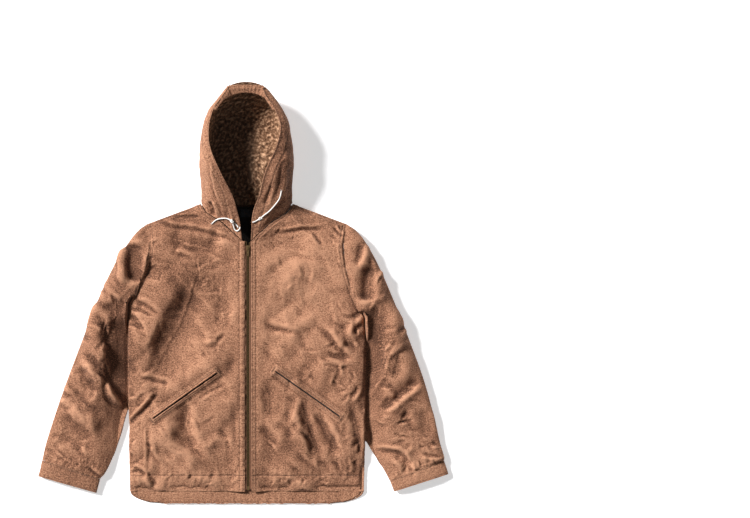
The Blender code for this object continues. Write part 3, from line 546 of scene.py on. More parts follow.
def sleeve_rows(side, shares):
    """The sleeve's table at these shares of its length, with the cloth under the arm drawn in to the body."""
    rows = smooth_rows(SLEEVE_ROWS[side], shares)
    reach, at, over = UNDERARM_TUCK
    rows[:, 2] -= reach * np.exp(-(((np.asarray(shares) - at) / over) ** 2))
    return rows


def sleeve_grid(side):
    """The sleeve's outer surface as rings from the armhole to the cuff seam."""
    us, top = ring_shares()
    middle = steps_to((ROLL[-1], 3.4), (SLEEVE_LENGTH - ROLL[-1], 1))
    stops = np.concatenate([ROLL[:-1], middle, SLEEVE_LENGTH - ROLL[::-1][1:]])
    shares = stops / SLEEVE_LENGTH
    rows = sleeve_rows(side, shares)
    bows = SLEEVE_BOW[0] * (1 - ease(shares / SLEEVE_BOW[1]))
    grid = ring_round(side, rows, bows, us, top)
    near_bow = SLEEVE_BOW[0] * (1 - ease(np.array([SLEEVE_JOIN / SLEEVE_BOW[1]])))
    near = ring_round(side, sleeve_rows(side, [SLEEVE_JOIN]), near_bow, us, top)[0]
    first = armhole_ring(side, us, top)
    early = shares < SLEEVE_JOIN
    t = (shares[early] / SLEEVE_JOIN)[:, None, None]
    grid[early] = first + (near - first) * t
    grid[..., 0] *= SIDES[side]
    border = np.minimum(stops, SLEEVE_LENGTH - stops)[:, None] + np.zeros(len(us))
    return grid, border


def cuff_grid(side):
    """Rings from the sleeve's end to the cuff's open edge."""
    us, top = ring_shares()
    start = smooth_rows(SLEEVE_ROWS[side], [1.0])[0]
    (outer_x, outer_y), (inner_x, inner_y) = CUFF_EDGE[side]
    end = np.array([outer_x, outer_y, inner_x, inner_y, CUFF_LOFT, CUFF_INNER_Z])
    middle = steps_to((ROLL[-1], 2.2), (CUFF_DEPTH - ROLL[-1], 1))
    stops = np.concatenate([ROLL[:-1], middle, CUFF_DEPTH - ROLL[::-1][1:]])
    shares = SEAM_GAP / CUFF_DEPTH + stops / CUFF_DEPTH * (1 - SEAM_GAP / CUFF_DEPTH)
    rows = start + (end - start) * shares[:, None]
    grid = ring_round(side, rows, np.zeros(len(shares)), us, top)
    grid[..., 0] *= SIDES[side]
    border = np.minimum(stops, CUFF_DEPTH - stops)[:, None] + np.zeros(len(us))
    return grid, border


# ---------------------------------------------------------------- the hood's form


def plan_left(points):
    step = np.gradient(np.array(points, float)[:, :2], axis=0)
    step /= np.linalg.norm(step, axis=1, keepdims=True)
    return np.stack([-step[:, 1], step[:, 0]], axis=1)


def hood_neck(side, stops):
    """The hood's edge along the front's neck seam, from the shoulder to the zip, at shares of its length."""
    seam = np.array([(out, y) for y, out in NECK_ROWS[::-1]], float)
    seam = through(seam + plan_left(seam) * (-2 * SEAM_GAP), 60)
    points = along(seam, np.asarray(stops) * walk(seam)[-1])
    z = surface_z(points[:, 0] * SIDES[side], points[:, 1])
    return np.column_stack([points, z])


def hood_grid(side):
    """Outer surface of the hood's side panel: lines from neck to crown, each from centre seam to rim."""
    rows = []
    for seam_y, seam_z, low, wide, high, *rims in HOOD_ROWS:
        rows.append([(CENTRE_STRIP + SEAM_GAP, seam_y, seam_z), low, wide, high, rims[side == "left"]])
    rows = np.array(rows, float)
    t = np.concatenate([[0, 0.004, 0.015, 0.03, 0.06], np.linspace(0.1, len(rows) - 1, HOOD_ROW_COUNT)])
    columns = [through(rows[:, k], t) for k in range(rows.shape[1])]
    grid, border, length_across = [], [], []
    for i in range(len(t)):
        line = through([c[i] for c in columns], 220)
        grid.append(line)
    grid = np.array(grid)
    neck = hood_neck(side, np.linspace(0, 1, 110))
    pull = neck - grid[0, 110:]
    fade = np.maximum(0.0, 1 - t * HOOD_LINES / len(rows) * 0.9)
    grid[:, 110:] += pull[None] * fade[:, None, None]
    grid[:, :110] += (pull[0][None, None] * np.linspace(0, 1, 110)[None, :, None] ** 6) * fade[:, None, None]
    even = []
    for i, line in enumerate(grid):
        length = walk(line)[-1]
        stops = rolled(length, HOOD_ACROSS)
        even.append(along(line, stops))
        border.append(np.minimum(stops, length - stops))
        length_across.append(length - stops)
    grid = np.array(even)
    raised_to(grid, 0.0)
    grid[..., 0] *= SIDES[side]
    up = np.linalg.norm(grid - grid[:1], axis=-1)
    border = np.minimum(np.array(border), up)
    return grid, border, np.array(length_across)


def hood_centre_grid():
    """The strip over the back of the head, between the two side panels."""
    seam = through(np.array([(CENTRE_STRIP - 0.8, y, z) for y, z, *_ in HOOD_ROWS], float), 160)
    start, span, bulge_y, bulge_z = CROWN
    crown = ease((np.linspace(0, 1, 160) - start) / span)
    width = 2 * (CENTRE_STRIP - 0.8)
    stops = rolled(width, 34)
    t = stops / width * 2 - 1
    bulge = crown[:, None] * (1 - t**2)
    x = seam[:, :1] * t
    y = seam[:, 1:2] + bulge_y * bulge
    y -= (y[:1] - BACK_NECK - SEAM_CLOSED) * np.exp(-walk(seam) / 6)[:, None]
    z = np.maximum(0.0, seam[:, 2:3] - bulge_z * bulge * (seam[:, 2:3] > 30))
    rows = walk(seam)
    border = nearest(nearest(stops, width - stops)[None], rows[:, None], (rows[-1] - rows)[:, None])
    return np.stack([x, y, z], -1), border


# ---------------------------------------------------------------- creases


def beside(x, y, path):
    """Signed distance from a path, + on its left, and the share along it."""
    best, sign, share = np.full(x.shape, 1e9), np.ones(x.shape), np.zeros(x.shape)
    walked = walk(path)
    for (ax, ay), (bx, by), start, end in zip(path[:-1], path[1:], walked[:-1], walked[1:]):
        dx, dy, length = bx - ax, by - ay, max(end - start, 1e-6)
        t = np.clip(((x - ax) * dx + (y - ay) * dy) / length**2, 0, 1)
        d = np.hypot(x - ax - t * dx, y - ay - t * dy)
        near = d < best
        best = np.where(near, d, best)
        sign = np.where(near, np.sign(dx * (y - ay) - dy * (x - ax) + 1e-12), sign)
        share = np.where(near, (start + t * length) / walked[-1], share)
    return best * sign, share


USUAL_FADE = (0.3, 0.3)
STEEPEST = 1.15  # a crease deeper than this many of its half widths would fold its cloth through itself


def creases(x, y, rows, seed, gain=1.0):
    """Height of soft troughs, each with a ridge on one side. A row is a path, half width, depth, lean (+ puts
    the ridge on the path's left) and the shares of its length over which it starts and ends."""
    warp = [1.6 * noise(x, y, 30, seed + k) + 0.7 * noise(x, y, 12, seed + k + 1) for k in (0, 2)]
    wx, wy = x + warp[0], y + warp[1]
    total = np.zeros(x.shape)
    for path, width, depth, lean, *fade in rows:
        start, end = fade[0] if fade else USUAL_FADE
        path = through(path, 5 * len(path)) if len(path) > 2 else np.array(path, float)
        reach = 4 * width + 6
        near = (wx > path[:, 0].min() - reach) & (wx < path[:, 0].max() + reach)
        near &= (wy > path[:, 1].min() - reach) & (wy < path[:, 1].max() + reach)
        if not near.any():
            continue
        d, s = beside(wx[near], wy[near], path)
        u = d / width
        taper = ease(s / max(start, 1e-3)) * ease((1 - s) / max(end, 1e-3))
        taper = taper * (1 + 0.5 * ease((width - 10) / 8))
        valley = np.exp(-np.sqrt(u**4 + 0.02) ** 0.85 * np.where(u * lean > 0, 1.9, 0.8))
        ridge = abs(lean) * np.exp(-((u - math.copysign(1.5, lean)) ** 2))
        total[near] -= min(gain * depth, max(depth, STEEPEST * width)) * taper * (valley - ridge)
    return total


def crumple(x, y, size, seed, turn=0.0):
    """Cloth that was crushed and let go: facets of about this size, with ridges between them. 0 to -1."""
    c, s = math.cos(turn), math.sin(turn)
    u, v = c * x + s * y, 0.62 * (c * y - s * x)
    warp = [0.3 * size * noise(u, v, size * 0.8, seed + k) for k in (1, 2)]
    u, v = u + warp[0], v + warp[1]
    return 0.04 - np.sqrt(noise(u, v, size, seed) ** 2 + 0.0016)


def swells(x, y, *rows):
    """Noises added up. A row is a size, a seed and a height."""
    return sum(height * noise(x, y, size, seed) for size, seed, height in rows)


def crumples(x, y, *rows):
    """Crumples added up. A row is a size, a seed, a turn and a height."""
    return sum(height * crumple(x, y, size, seed, turn) for size, seed, turn, height in rows)


def scatter(patches, seed):
    """Rows for creases(): small ones strewn over patches."""
    rng = np.random.default_rng(seed)
    rows = []
    for cx, cy, rx, ry, turn, spread, count, length, width, depth in patches:
        for _ in range(count):
            a, r = rng.uniform(0, 2 * math.pi), math.sqrt(rng.uniform())
            middle = np.array([cx + rx * r * math.cos(a), cy + ry * r * math.sin(a)])
            heading = math.radians(turn + rng.normal(0, spread))
            half = length * rng.uniform(0.35, 1.0) / 2
            way = np.array([math.cos(heading), math.sin(heading)])
            bow = np.array([-way[1], way[0]]) * rng.normal(0, 0.18) * half
            path = (middle - way * half, middle + bow, middle + way * half)
            deep = depth * rng.uniform(0.35, 1.0) * (1 if rng.uniform() < 0.8 else -0.8)
            lean = rng.choice([-1, 1]) * rng.uniform(0.3, 0.8)
            rows.append((path, 0.72 * width * rng.uniform(0.6, 1.4), deep, lean, (0.45, 0.45)))
    return rows


def puckers(walked, distance, size, height, reach, seed):
    """Small ripples across a seam, dying away from it."""
    ripple = noise(walked, distance * 0.12, size, seed)
    ripple = ripple + 0.5 * noise(walked, distance * 0.2, size * 0.5, seed + 1)
    return height * ripple * np.exp(-distance / reach)


# ---------------------------------------------------------------- walls from grids


def grid_normals(grid, towards):
    """Unit normals of a grid of points, on the side of it where towards is."""
    down = np.gradient(grid, axis=0)
    around = np.gradient(grid, axis=1)
    normal = unit(np.cross(down, around))
    away = np.einsum("ijk,ijk->ij", normal, np.array(towards, float) - grid)
    return normal if away.sum() > 0 else -normal


def soften(field, rounds, closed=False):
    """A field on a grid, blurred."""
    for _ in range(rounds):
        for axis in (0, 1):
            pad = [(1, 1) if k == axis else (0, 0) for k in (0, 1)]
            wide = np.pad(field, pad, mode="wrap" if closed and axis == 1 else "edge")
            low, high = (np.take(wide, np.arange(s, s + field.shape[axis]), axis) for s in (0, 2))
            field = 0.25 * low + 0.5 * field + 0.25 * high
    return field


def add_mesh(name, points, faces, material, slot=None, replaces=(), body="jacket", **values):
    """A piece from points in garment millimetres, lists of same-sided faces, and values at its points."""
    data = bpy.data.meshes.new(name)
    data.vertices.add(len(points))
    data.vertices.foreach_set("co", place(points).astype(np.float32).ravel())
    faces = [np.asarray(f, np.int32) for f in faces if len(f)]
    loops = np.concatenate([f.ravel() for f in faces])
    sizes = np.concatenate([np.full(len(f), f.shape[1]) for f in faces])
    data.loops.add(len(loops))
    data.loops.foreach_set("vertex_index", loops)
    data.polygons.add(len(sizes))
    data.polygons.foreach_set("loop_start", np.concatenate([[0], np.cumsum(sizes)[:-1]]).astype(np.int32))
    data.polygons.foreach_set("use_smooth", np.ones(len(sizes), bool))
    data.update(calc_edges=True)
    for key, value in values.items():
        vector = np.ndim(value) == 2
        made = data.attributes.new(key, "FLOAT_VECTOR" if vector else "FLOAT", "POINT")
        made.data.foreach_set("vector" if vector else "value", np.asarray(value, np.float32).ravel())
    piece = add_object(name, data)
    data.materials.append(material)
    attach(piece, body)
    if replaces:
        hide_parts(*replaces)
    return piece


# A piece's inside is painted near black as shade. Low down and far out it keeps the cloth's own colour this
# near its edge, as if turned in; elsewhere the painted shade starts at the edge.
TURNED_BELOW = 60.0
TURNED_BEYOND = 255.0
TURNED_IN = 14.0

PAINTED_LIGHT_SHADE = [
    # x, y, reach across, reach down, how much lighter it is painted (below 0, painted shade)
    (-150, 505, 60, 110, -0.85), (120, 500, 100, 110, 1.00), (-180, 110, 70, 80, 0.85),
    (130, 110, 60, 70, -0.55), (-345, 300, 45, 110, -0.80), (-287, 335, 26, 110, -2.00),
    (300, 320, 30, 120, -1.60), (-85, 750, 30, 90, 0.50), (98, 740, 26, 120, -1.10),
    (-180, 640, 60, 25, -0.90), (65, 380, 60, 70, 0.35), (-400, 55, 45, 45, -0.60),
    (404, 50, 50, 45, 0.85), (-110, 15, 150, 30, 0.40), (-252, 545, 14, 70, -0.80),
    (170, 640, 60, 25, -0.50),
]


def painted_light_shade(x, y):
    """How much lighter the cloth is painted at a place: painted light and painted shade on the chest, low
    down, at the armpits, beside the body and on the hood's outer sides, for light and shade that the light
    here doesn't give."""
    paler = 0.0
    for x0, y0, reach_x, reach_y, amount in PAINTED_LIGHT_SHADE:
        paler = paler + amount * np.exp(-(((x - x0) / reach_x) ** 2) - ((y - y0) / reach_y) ** 2)
    return paler


def shell(
    name, outer, border, towards, thickness, material, cut, relief,
    closed=False, normal=None, dark=0.0, **more,
):
    """A thin piece of cloth on a grid of points, with round edges and an inside, which is painted near black
    as shade. border is the distance from the edge, towards a place on the outer side, and dark the painted
    shade on the outer side. closed is for rings."""
    if normal is None:
        normal = grid_normals(outer, towards)
    half = thickness / 2
    drop = half - np.sqrt(np.maximum(half**2 - (half - np.minimum(border, half)) ** 2, 0.0))
    top = outer - normal * drop[..., None]
    under = outer - normal * (thickness - drop)[..., None]
    rows, columns = outer.shape[:2]
    index = np.arange(rows * columns).reshape(rows, columns)
    kept = np.unique([0, *range(1, rows - 1, 2), rows - 2, rows - 1])
    inside = np.zeros((rows, columns), bool)
    inside[kept[1:-1]] = True
    if not closed:
        inside[:, 0] = inside[:, -1] = False
    low = index.copy()
    low[inside] = rows * columns + np.arange(inside.sum())

    def squares(i):
        i = np.concatenate([i, i[:, :1]], axis=1) if closed else i
        return np.stack([i[:-1, :-1], i[1:, :-1], i[1:, 1:], i[:-1, 1:]], -1).reshape(-1, 4)

    points = np.concatenate([top.reshape(-1, 3), under[inside]])
    upper = squares(index)
    if closed:
        lower, ends = squares(low[kept]), np.zeros((0, 5), int)
    else:
        lower, ends = underneath(low, kept)
    lower, ends = lower[:, ::-1], ends[:, ::-1]
    a, b, c = (points[upper[:, k]] for k in (0, 1, 2))
    facing = np.einsum("ij,ij->i", np.cross(b - a, c - a), normal.reshape(-1, 3)[upper[:, 0]])
    if facing.sum() < 0:
        upper, lower, ends = upper[:, ::-1], lower[:, ::-1], ends[:, ::-1]
    # Tone from the relief: darker in creases and between lumps as painted shade, lighter on ridges, partly
    # rubbed and partly painted highlight
    near, far = soften(relief, 6, closed), soften(relief, 60, closed)
    wear_and_shade = 0.8 * (relief - near) + 0.10 * (near - far)
    if material is CANVAS:
        # painted light and painted shade patches, added to the canvas's tone
        wear_and_shade = wear_and_shade + painted_light_shade(outer[..., 0], outer[..., 1]) * ease(normal[..., 2] / 0.3 + 1)
    wear_and_shade = np.concatenate([wear_and_shade.ravel(), 0 * wear_and_shade[inside]])
    # painted shade: the inside goes near black, from the edge on, or past TURNED_IN where it is turned
    turned = (outer[inside][:, 1] < TURNED_BELOW) | (np.abs(outer[inside][:, 0]) > TURNED_BEYOND)
    inside_shaded = np.where(turned, ease((border[inside] - TURNED_IN) / 6), 1.0)
    painted_shade_amount = np.concatenate([(dark + np.zeros((rows, columns))).ravel(), inside_shaded])
    edge = np.concatenate([border.ravel(), border[inside]])
    cut = np.concatenate([cut.reshape(-1, 3), cut[inside]]) * MM
    values = {"cut": cut, "wear_and_shade": wear_and_shade, "edge": edge, "painted_shade_amount": painted_shade_amount}
    return add_mesh(name, points, [upper, lower, ends], material, **values, **more)


def underneath(low, kept):
    """Faces of a shell's underside, which leaves out every second row; its side edges keep every point."""
    quads, ends = [], []
    for a, b in zip(kept[:-1], kept[1:]):
        start, stop = (0, None) if b - a == 1 else (1, -1)
        i, j = low[a, start:stop], low[b, start:stop]
        quads.append(np.stack([i[:-1], j[:-1], j[1:], i[1:]], -1))
        if b - a == 2:
            ends.append((low[a, 0], low[a + 1, 0], low[b, 0], low[b, 1], low[a, 1]))
            ends.append((low[a, -2], low[b, -2], low[b, -1], low[a + 1, -1], low[a, -1]))
    return np.concatenate(quads), np.array(ends)


def moved(grid, towards, relief):
    return grid + grid_normals(grid, towards) * relief[..., None]


def cut_of(u, v, offset=0.0):
    return np.stack([u + offset, v + offset, 0 * u], -1)


# ---------------------------------------------------------------- materials


class Shader:
    """A material and short ways to add nodes to it."""

    def __init__(self, name, **fixed):
        self.material = bpy.data.materials.new(name)
        self.material.use_nodes = True
        self.tree = self.material.node_tree
        self.shader = self.tree.nodes["Principled BSDF"]
        for socket, value in fixed.items():
            self.shader.inputs[socket.replace("_", " ")].default_value = value

    def add(self, kind, inputs=None, **settings):
        made = self.tree.nodes.new(kind)
        for key, value in settings.items():
            setattr(made, key, value)
        for key, value in (inputs or {}).items():
            if isinstance(value, bpy.types.NodeSocket):
                self.tree.links.new(value, made.inputs[key])
            else:
                made.inputs[key].default_value = value
        return made

    def math(self, operation, a, b=0.0, clamp=False):
        return self.add("ShaderNodeMath", {0: a, 1: b}, operation=operation, use_clamp=clamp).outputs[0]

    def value(self, name):
        made = self.add("ShaderNodeAttribute", attribute_name=name)
        return made.outputs["Fac"]

    def cut(self):
        return self.add("ShaderNodeAttribute", attribute_name="cut").outputs["Vector"]

    def stretch(self, vector, scale):
        return self.add("ShaderNodeMapping", {"Vector": vector, "Scale": scale}).outputs[0]

    def noise(self, vector, scale, detail=2.0, rough=0.55):
        inputs = {"Vector": vector, "Scale": scale, "Detail": detail, "Roughness": rough}
        return self.add("ShaderNodeTexNoise", inputs).outputs["Fac"]

    def ranged(self, value, low, high, to_low=0.0, to_high=1.0):
        inputs = {"Value": value, "From Min": low, "From Max": high, "To Min": to_low, "To Max": to_high}
        return self.add("ShaderNodeMapRange", inputs).outputs["Result"]

    def mix(self, factor, a, b, blend="MIX"):
        made = self.add("ShaderNodeMix", data_type="RGBA", blend_type=blend)
        for k, value in ((0, factor), (6, a), (7, b)):
            if isinstance(value, bpy.types.NodeSocket):
                self.tree.links.new(value, made.inputs[k])
            else:
                made.inputs[k].default_value = value
        return made.outputs[2]

    def ramp(self, value, dark, middle, light):
        """Colours from dark to light, each mark a position and a colour."""
        made = self.add("ShaderNodeValToRGB", {"Fac": value})
        marks = made.color_ramp.elements
        marks[0].position, marks[0].color = dark
        marks[1].position, marks[1].color = light
        marks.new(middle[0]).color = middle[1]
        return made.outputs["Color"]

    def bump(self, height, distance, strength=1.0, normal=None):
        inputs = {"Height": height, "Distance": distance, "Strength": strength}
        if normal is not None:
            inputs["Normal"] = normal
        return self.add("ShaderNodeBump", inputs).outputs["Normal"]

    def finish(self, colour=None, roughness=None, normal=None):
        for name, socket in (("Base Color", colour), ("Roughness", roughness), ("Normal", normal)):
            if socket is not None:
                self.tree.links.new(socket, self.shader.inputs[name])
        return self.material

    def weave(self, vector, pitch):
        """Height of a plain weave of round threads."""
        split = self.add("ShaderNodeSeparateXYZ", {0: vector})
        waves = [self.math("SINE", self.math("MULTIPLY", split.outputs[k], math.pi / pitch)) for k in (0, 1)]
        over = self.math("MULTIPLY_ADD", self.math("MULTIPLY", *waves), 4.0, True)
        over.node.inputs[2].default_value = 0.5
        round_u, round_v = (self.math("ABSOLUTE", w) for w in waves)
        lifted = self.math("MULTIPLY", round_u, over)
        other = self.math("MULTIPLY", round_v, self.math("SUBTRACT", 1.0, over))
        return self.math("ADD", lifted, other)


def colour(red, green, blue):
    return (red, green, blue, 1.0)


THREAD_PITCH = 0.00085
CANVAS_DARK = colour(0.075, 0.031, 0.017)
CANVAS_MID = colour(0.262, 0.119, 0.067)
CANVAS_LIGHT = colour(0.470, 0.240, 0.142)
CANVAS_WORN = colour(0.52, 0.31, 0.20)
# near black, painted where there is only shade
SHADE_BLACK = colour(0.012, 0.009, 0.008)
SHERPA_DARK = colour(0.030, 0.014, 0.008)
SHERPA_MID = colour(0.240, 0.122, 0.066)
SHERPA_LIGHT = colour(0.82, 0.50, 0.31)


def canvas_material(name="duck_canvas", shade=0.0):
    """Washed duck. Folds and seams are darker as painted shade, and ridges lighter, partly rubbed and partly
    painted highlight; shade makes all of it darker, as painted shade for a copy that lies in shade.
    """
    s = Shader(name, Sheen_Weight=0.10, Sheen_Roughness=0.5, Specular_IOR_Level=0.2)
    s.shader.inputs["Sheen Tint"].default_value = colour(1.0, 0.75, 0.6)
    cut = s.cut()
    grain = s.noise(s.stretch(cut, (1.0, 0.6, 1.0)), 560.0, 3.0, 0.65)
    slub = s.noise(s.stretch(cut, (1.0, 0.08, 1.0)), 700.0, 1.0)
    weft = s.noise(s.stretch(cut, (0.08, 1.0, 1.0)), 700.0, 1.0)
    fleck = s.noise(s.stretch(cut, (0.75, 1.0, 1.0)), 330.0, 1.0)
    weave = s.weave(cut, THREAD_PITCH)
    tone = s.ranged(s.value("wear_and_shade"), -1.5, 1.5, 0.08 - shade, 1.08 - shade)
    for field, reach in (
        (grain, 0.56), (fleck, 0.26), (slub, 0.10), (weft, 0.10), (s.noise(cut, 48.0, 4.0, 0.6), 0.05),
        (s.noise(cut, 9.0, 2.0), 0.08),
    ):
        tone = s.math("ADD", tone, s.ranged(field, 0.3, 0.7, -reach, reach))
    base = s.ramp(tone, (0.0, CANVAS_DARK), (0.5, CANVAS_MID), (1.0, CANVAS_LIGHT))
    rubbed = s.ranged(s.value("edge"), 0.2, 1.5, 1.0, 0.0)
    rubbed = s.math("MULTIPLY", rubbed, s.ranged(s.noise(cut, 160.0, 2.0), 0.42, 0.66))
    base = s.mix(s.math("MULTIPLY", rubbed, 0.4), base, CANVAS_WORN)
    base = s.mix(0.22, base, s.mix(weave, colour(0.6, 0.55, 0.5), colour(1, 1, 1)), "MULTIPLY")
    # painted shade: the cloth's inside and the pocket openings go near black
    base = s.mix(s.ranged(s.value("painted_shade_amount"), 0.1, 0.9), base, SHADE_BLACK)
    normal = s.bump(s.noise(cut, 150.0, 4.0, 0.6), 0.0030, 0.6)
    normal = s.bump(s.math("ADD", grain, fleck), 0.0012, 0.6, normal)
    threads = s.math("ADD", weave, s.math("MULTIPLY", s.math("ADD", slub, weft), 0.5))
    normal = s.bump(threads, 0.00022, 0.6, normal)
    rough = s.ranged(grain, 0.25, 0.75, 0.80, 0.94)
    return s.finish(base, rough, normal)


def thread_material():
    s = Shader("stitching_thread", Sheen_Weight=0.1, Specular_IOR_Level=0.3)
    base = s.mix(s.noise(s.cut(), 900.0), colour(0.10, 0.048, 0.028), colour(0.20, 0.098, 0.056))
    return s.finish(base, s.ranged(s.noise(s.cut(), 500.0), 0, 1, 0.6, 0.8))


def sherpa_material():
    s = Shader("sherpa_pile", Sheen_Weight=0.20, Sheen_Roughness=0.6, Specular_IOR_Level=0.12)
    s.shader.inputs["Sheen Tint"].default_value = colour(1.0, 0.68, 0.45)
    cut = s.cut()
    curl = s.noise(cut, 330.0, 3.0, 0.7)
    clump = s.noise(cut, 95.0, 3.0, 0.6)
    tone = s.math("ADD", s.math("MULTIPLY", curl, 0.6), s.math("MULTIPLY", clump, 0.5))
    # painted shade between the pile's lumps and painted light on their tops, from the relief's tone attribute
    tone = s.math("ADD", tone, s.ranged(s.value("wear_and_shade"), -1.0, 1.0, -0.26, 0.26))
    base = s.ramp(tone, (0.20, SHERPA_DARK), (0.55, SHERPA_MID), (0.86, SHERPA_LIGHT))
    normal = s.bump(clump, 0.0035, 0.6)
    normal = s.bump(curl, 0.0022, 0.9, normal)
    # painted shade: the lining deep in the hood goes towards near black
    pile = s.mix(s.ranged(s.value("painted_shade_amount"), 0.0, 1.0, 0.0, 0.8), base, SHADE_BLACK)
    return s.finish(pile, s.ranged(curl, 0.2, 0.8, 0.85, 1.0), normal)


def brass_material():
    s = Shader("antique_brass", Metallic=1.0)
    spot = s.add("ShaderNodeTexCoord").outputs["Object"]
    patina = s.noise(spot, 500.0, 4.0, 0.65)
    base = s.mix(s.ranged(patina, 0.35, 0.7), colour(0.40, 0.26, 0.12), colour(0.11, 0.068, 0.035))
    normal = s.bump(s.noise(spot, 1500.0, 2.0), 0.0001, 0.4)
    return s.finish(base, s.ranged(patina, 0.3, 0.75, 0.28, 0.55), normal)


def tape_material():
    s = Shader("zip_tape", Specular_IOR_Level=0.2)
    cut = s.cut()
    weave = s.weave(cut, 0.0007)
    grain = s.noise(cut, 600.0, 2.0)
    base = s.mix(grain, colour(0.13, 0.060, 0.034), colour(0.27, 0.128, 0.074))
    return s.finish(base, s.ranged(grain, 0, 1, 0.8, 0.95), s.bump(weave, 0.0003, 0.8))


def cord_material():
    s = Shader("cotton_cord", Sheen_Weight=0.2, Specular_IOR_Level=0.25)
    cut = s.cut()
    fibre = s.noise(s.stretch(cut, (1.0, 0.25, 1.0)), 1400.0, 2.0)
    base = s.mix(fibre, colour(0.62, 0.60, 0.56), colour(0.90, 0.89, 0.86))
    return s.finish(base, s.ranged(fibre, 0, 1, 0.75, 0.95), s.bump(fibre, 0.0003, 0.6))


def label_material():
    s = Shader("label_weave", Specular_IOR_Level=0.35)
    cut = s.cut()
    inputs = {"Vector": cut, "Scale": 900.0, "Distortion": 0.3}
    twill = s.add("ShaderNodeTexWave", inputs, bands_direction="DIAGONAL").outputs["Fac"]
    base = s.mix(twill, colour(0.006, 0.007, 0.009), colour(0.022, 0.024, 0.030))
    return s.finish(base, s.ranged(s.noise(cut, 300.0), 0, 1, 0.5, 0.7), s.bump(twill, 0.0002, 0.7))


CANVAS = canvas_material()
# a copy of the canvas painted darker, as shade, for the facings inside the hood's rim
SHADED_FACING = canvas_material("shaded_facing_canvas", 0.22)
THREAD = thread_material()
SHERPA = sherpa_material()
BRASS = brass_material()
TAPE = tape_material()
CORD = cord_material()
LABEL = label_material()

# ---------------------------------------------------------------- where the cloth is creased

FRONT_CREASES = [
    # path, half width, depth, lean, and (fade in, fade out) where it isn't the usual
    # wearer's right
    (((-204, 633), (-170, 619), (-114, 611), (-61, 597), (-5, 578)), 5.5, 4.2, 0.5, (0.15, 0.1)),
    (((-172, 652), (-158, 644), (-95, 645)), 4, 1.6, 0.4),
    (((-200, 600), (-120, 575), (-40, 560)), 26, 3.0, -0.3),
    (((-182, 560), (-145, 550), (-112, 541)), 7, 1.6, 0.4),
    (((-239, 592), (-231, 572), (-219, 554)), 5, 3.8, -0.6),
    (((-263, 447), (-230, 433), (-197, 412)), 6, 2.4, 0.7),
    (((-262, 436), (-240, 420), (-214, 404)), 5, 1.6, -0.6),
    (((-268, 418), (-254, 396), (-232, 379)), 8, 2.4, 0.7),
    (((-262, 392), (-245, 370), (-238, 342)), 7, 2.0, -0.7),
    (((-112, 520), (-146, 410), (-186, 336), (-228, 256)), 40, 8.5, -0.3, (0.35, 0.35)),
    (((-251, 268), (-215, 262), (-172, 252)), 6, 2.0, 0.6),
    (((-276, 158), (-243, 189), (-205, 232)), 5, 3.8, 0.5, (0.1, 0.35)),
    (((-231, 164), (-229, 100), (-231, 40)), 4, 1.2, -0.6),
    (((-268, 57), (-250, 50), (-231, 36)), 5, 2.6, 0.6),
    (((-233, 44), (-222, 28), (-214, 8)), 6, 3.0, -0.5),
    (((-137, 216), (-140, 150), (-119, 92)), 15, 3.4, 0.4),
    (((-190, 140), (-135, 108), (-96, 66)), 14, 3.4, -0.4),
    (((-24, 205), (-26, 150), (-23, 92)), 6, 1.8, 0.4),
    (((-97, 333), (-72, 348), (-46, 372)), 6, 1.6, 0.5),
    (((-13, 82), (-17, 59), (-24, 44), (-24, 28)), 3.5, 2.4, 0.6),
    (((-14, 32), (-24, 22), (-36, 13)), 3.5, 2.0, -0.6),
    (((-39, 257), (-80, 235), (-121, 212)), 4, 1.0, 0.5),
    (((-60, 520), (-62, 440), (-48, 370)), 30, 2.6, 0.3),
    # wearer's left
    (((60, 603), (145, 613), (194, 615)), 5, 2.8, 0.5),
    (((150, 609), (165, 588), (177, 570)), 4.5, 1.8, -0.5),
    (((200, 620), (215, 606), (228, 592)), 4, 2.2, 0.5),
    (((38, 580), (90, 566), (150, 560)), 22, 2.0, -0.3),
    (((40, 402), (61, 384), (107, 372), (131, 360)), 7, 2.6, 0.5),
    (((60, 470), (110, 440), (150, 400)), 26, 2.6, 0.3),
    (((173, 388), (213, 337), (245, 302)), 8, 3.2, 0.6),
    (((182, 325), (215, 311), (242, 307)), 7, 2.6, -0.6),
    (((222, 395), (238, 350), (262, 322)), 9, 2.4, 0.5),
    (((273, 432), (262, 414), (246, 402)), 6, 2.2, 0.6),
    (((273, 392), (258, 384), (244, 366)), 6, 2.0, -0.6),
    (((107, 233), (104, 196), (90, 160)), 12, 3.0, 0.5),
    (((121, 228), (136, 170), (168, 71)), 15, 3.8, -0.4),
    (((159, 191), (186, 140), (215, 85)), 14, 3.6, 0.4),
    (((233, 205), (256, 150), (260, 80)), 12, 3.0, -0.5),
    (((30, 160), (50, 132), (76, 104)), 14, 3.0, 0.4),
    (((40, 250), (52, 215), (50, 165)), 20, 2.6, -0.3),
    (((262, 250), (250, 228), (238, 214)), 6, 1.8, 0.6),
]
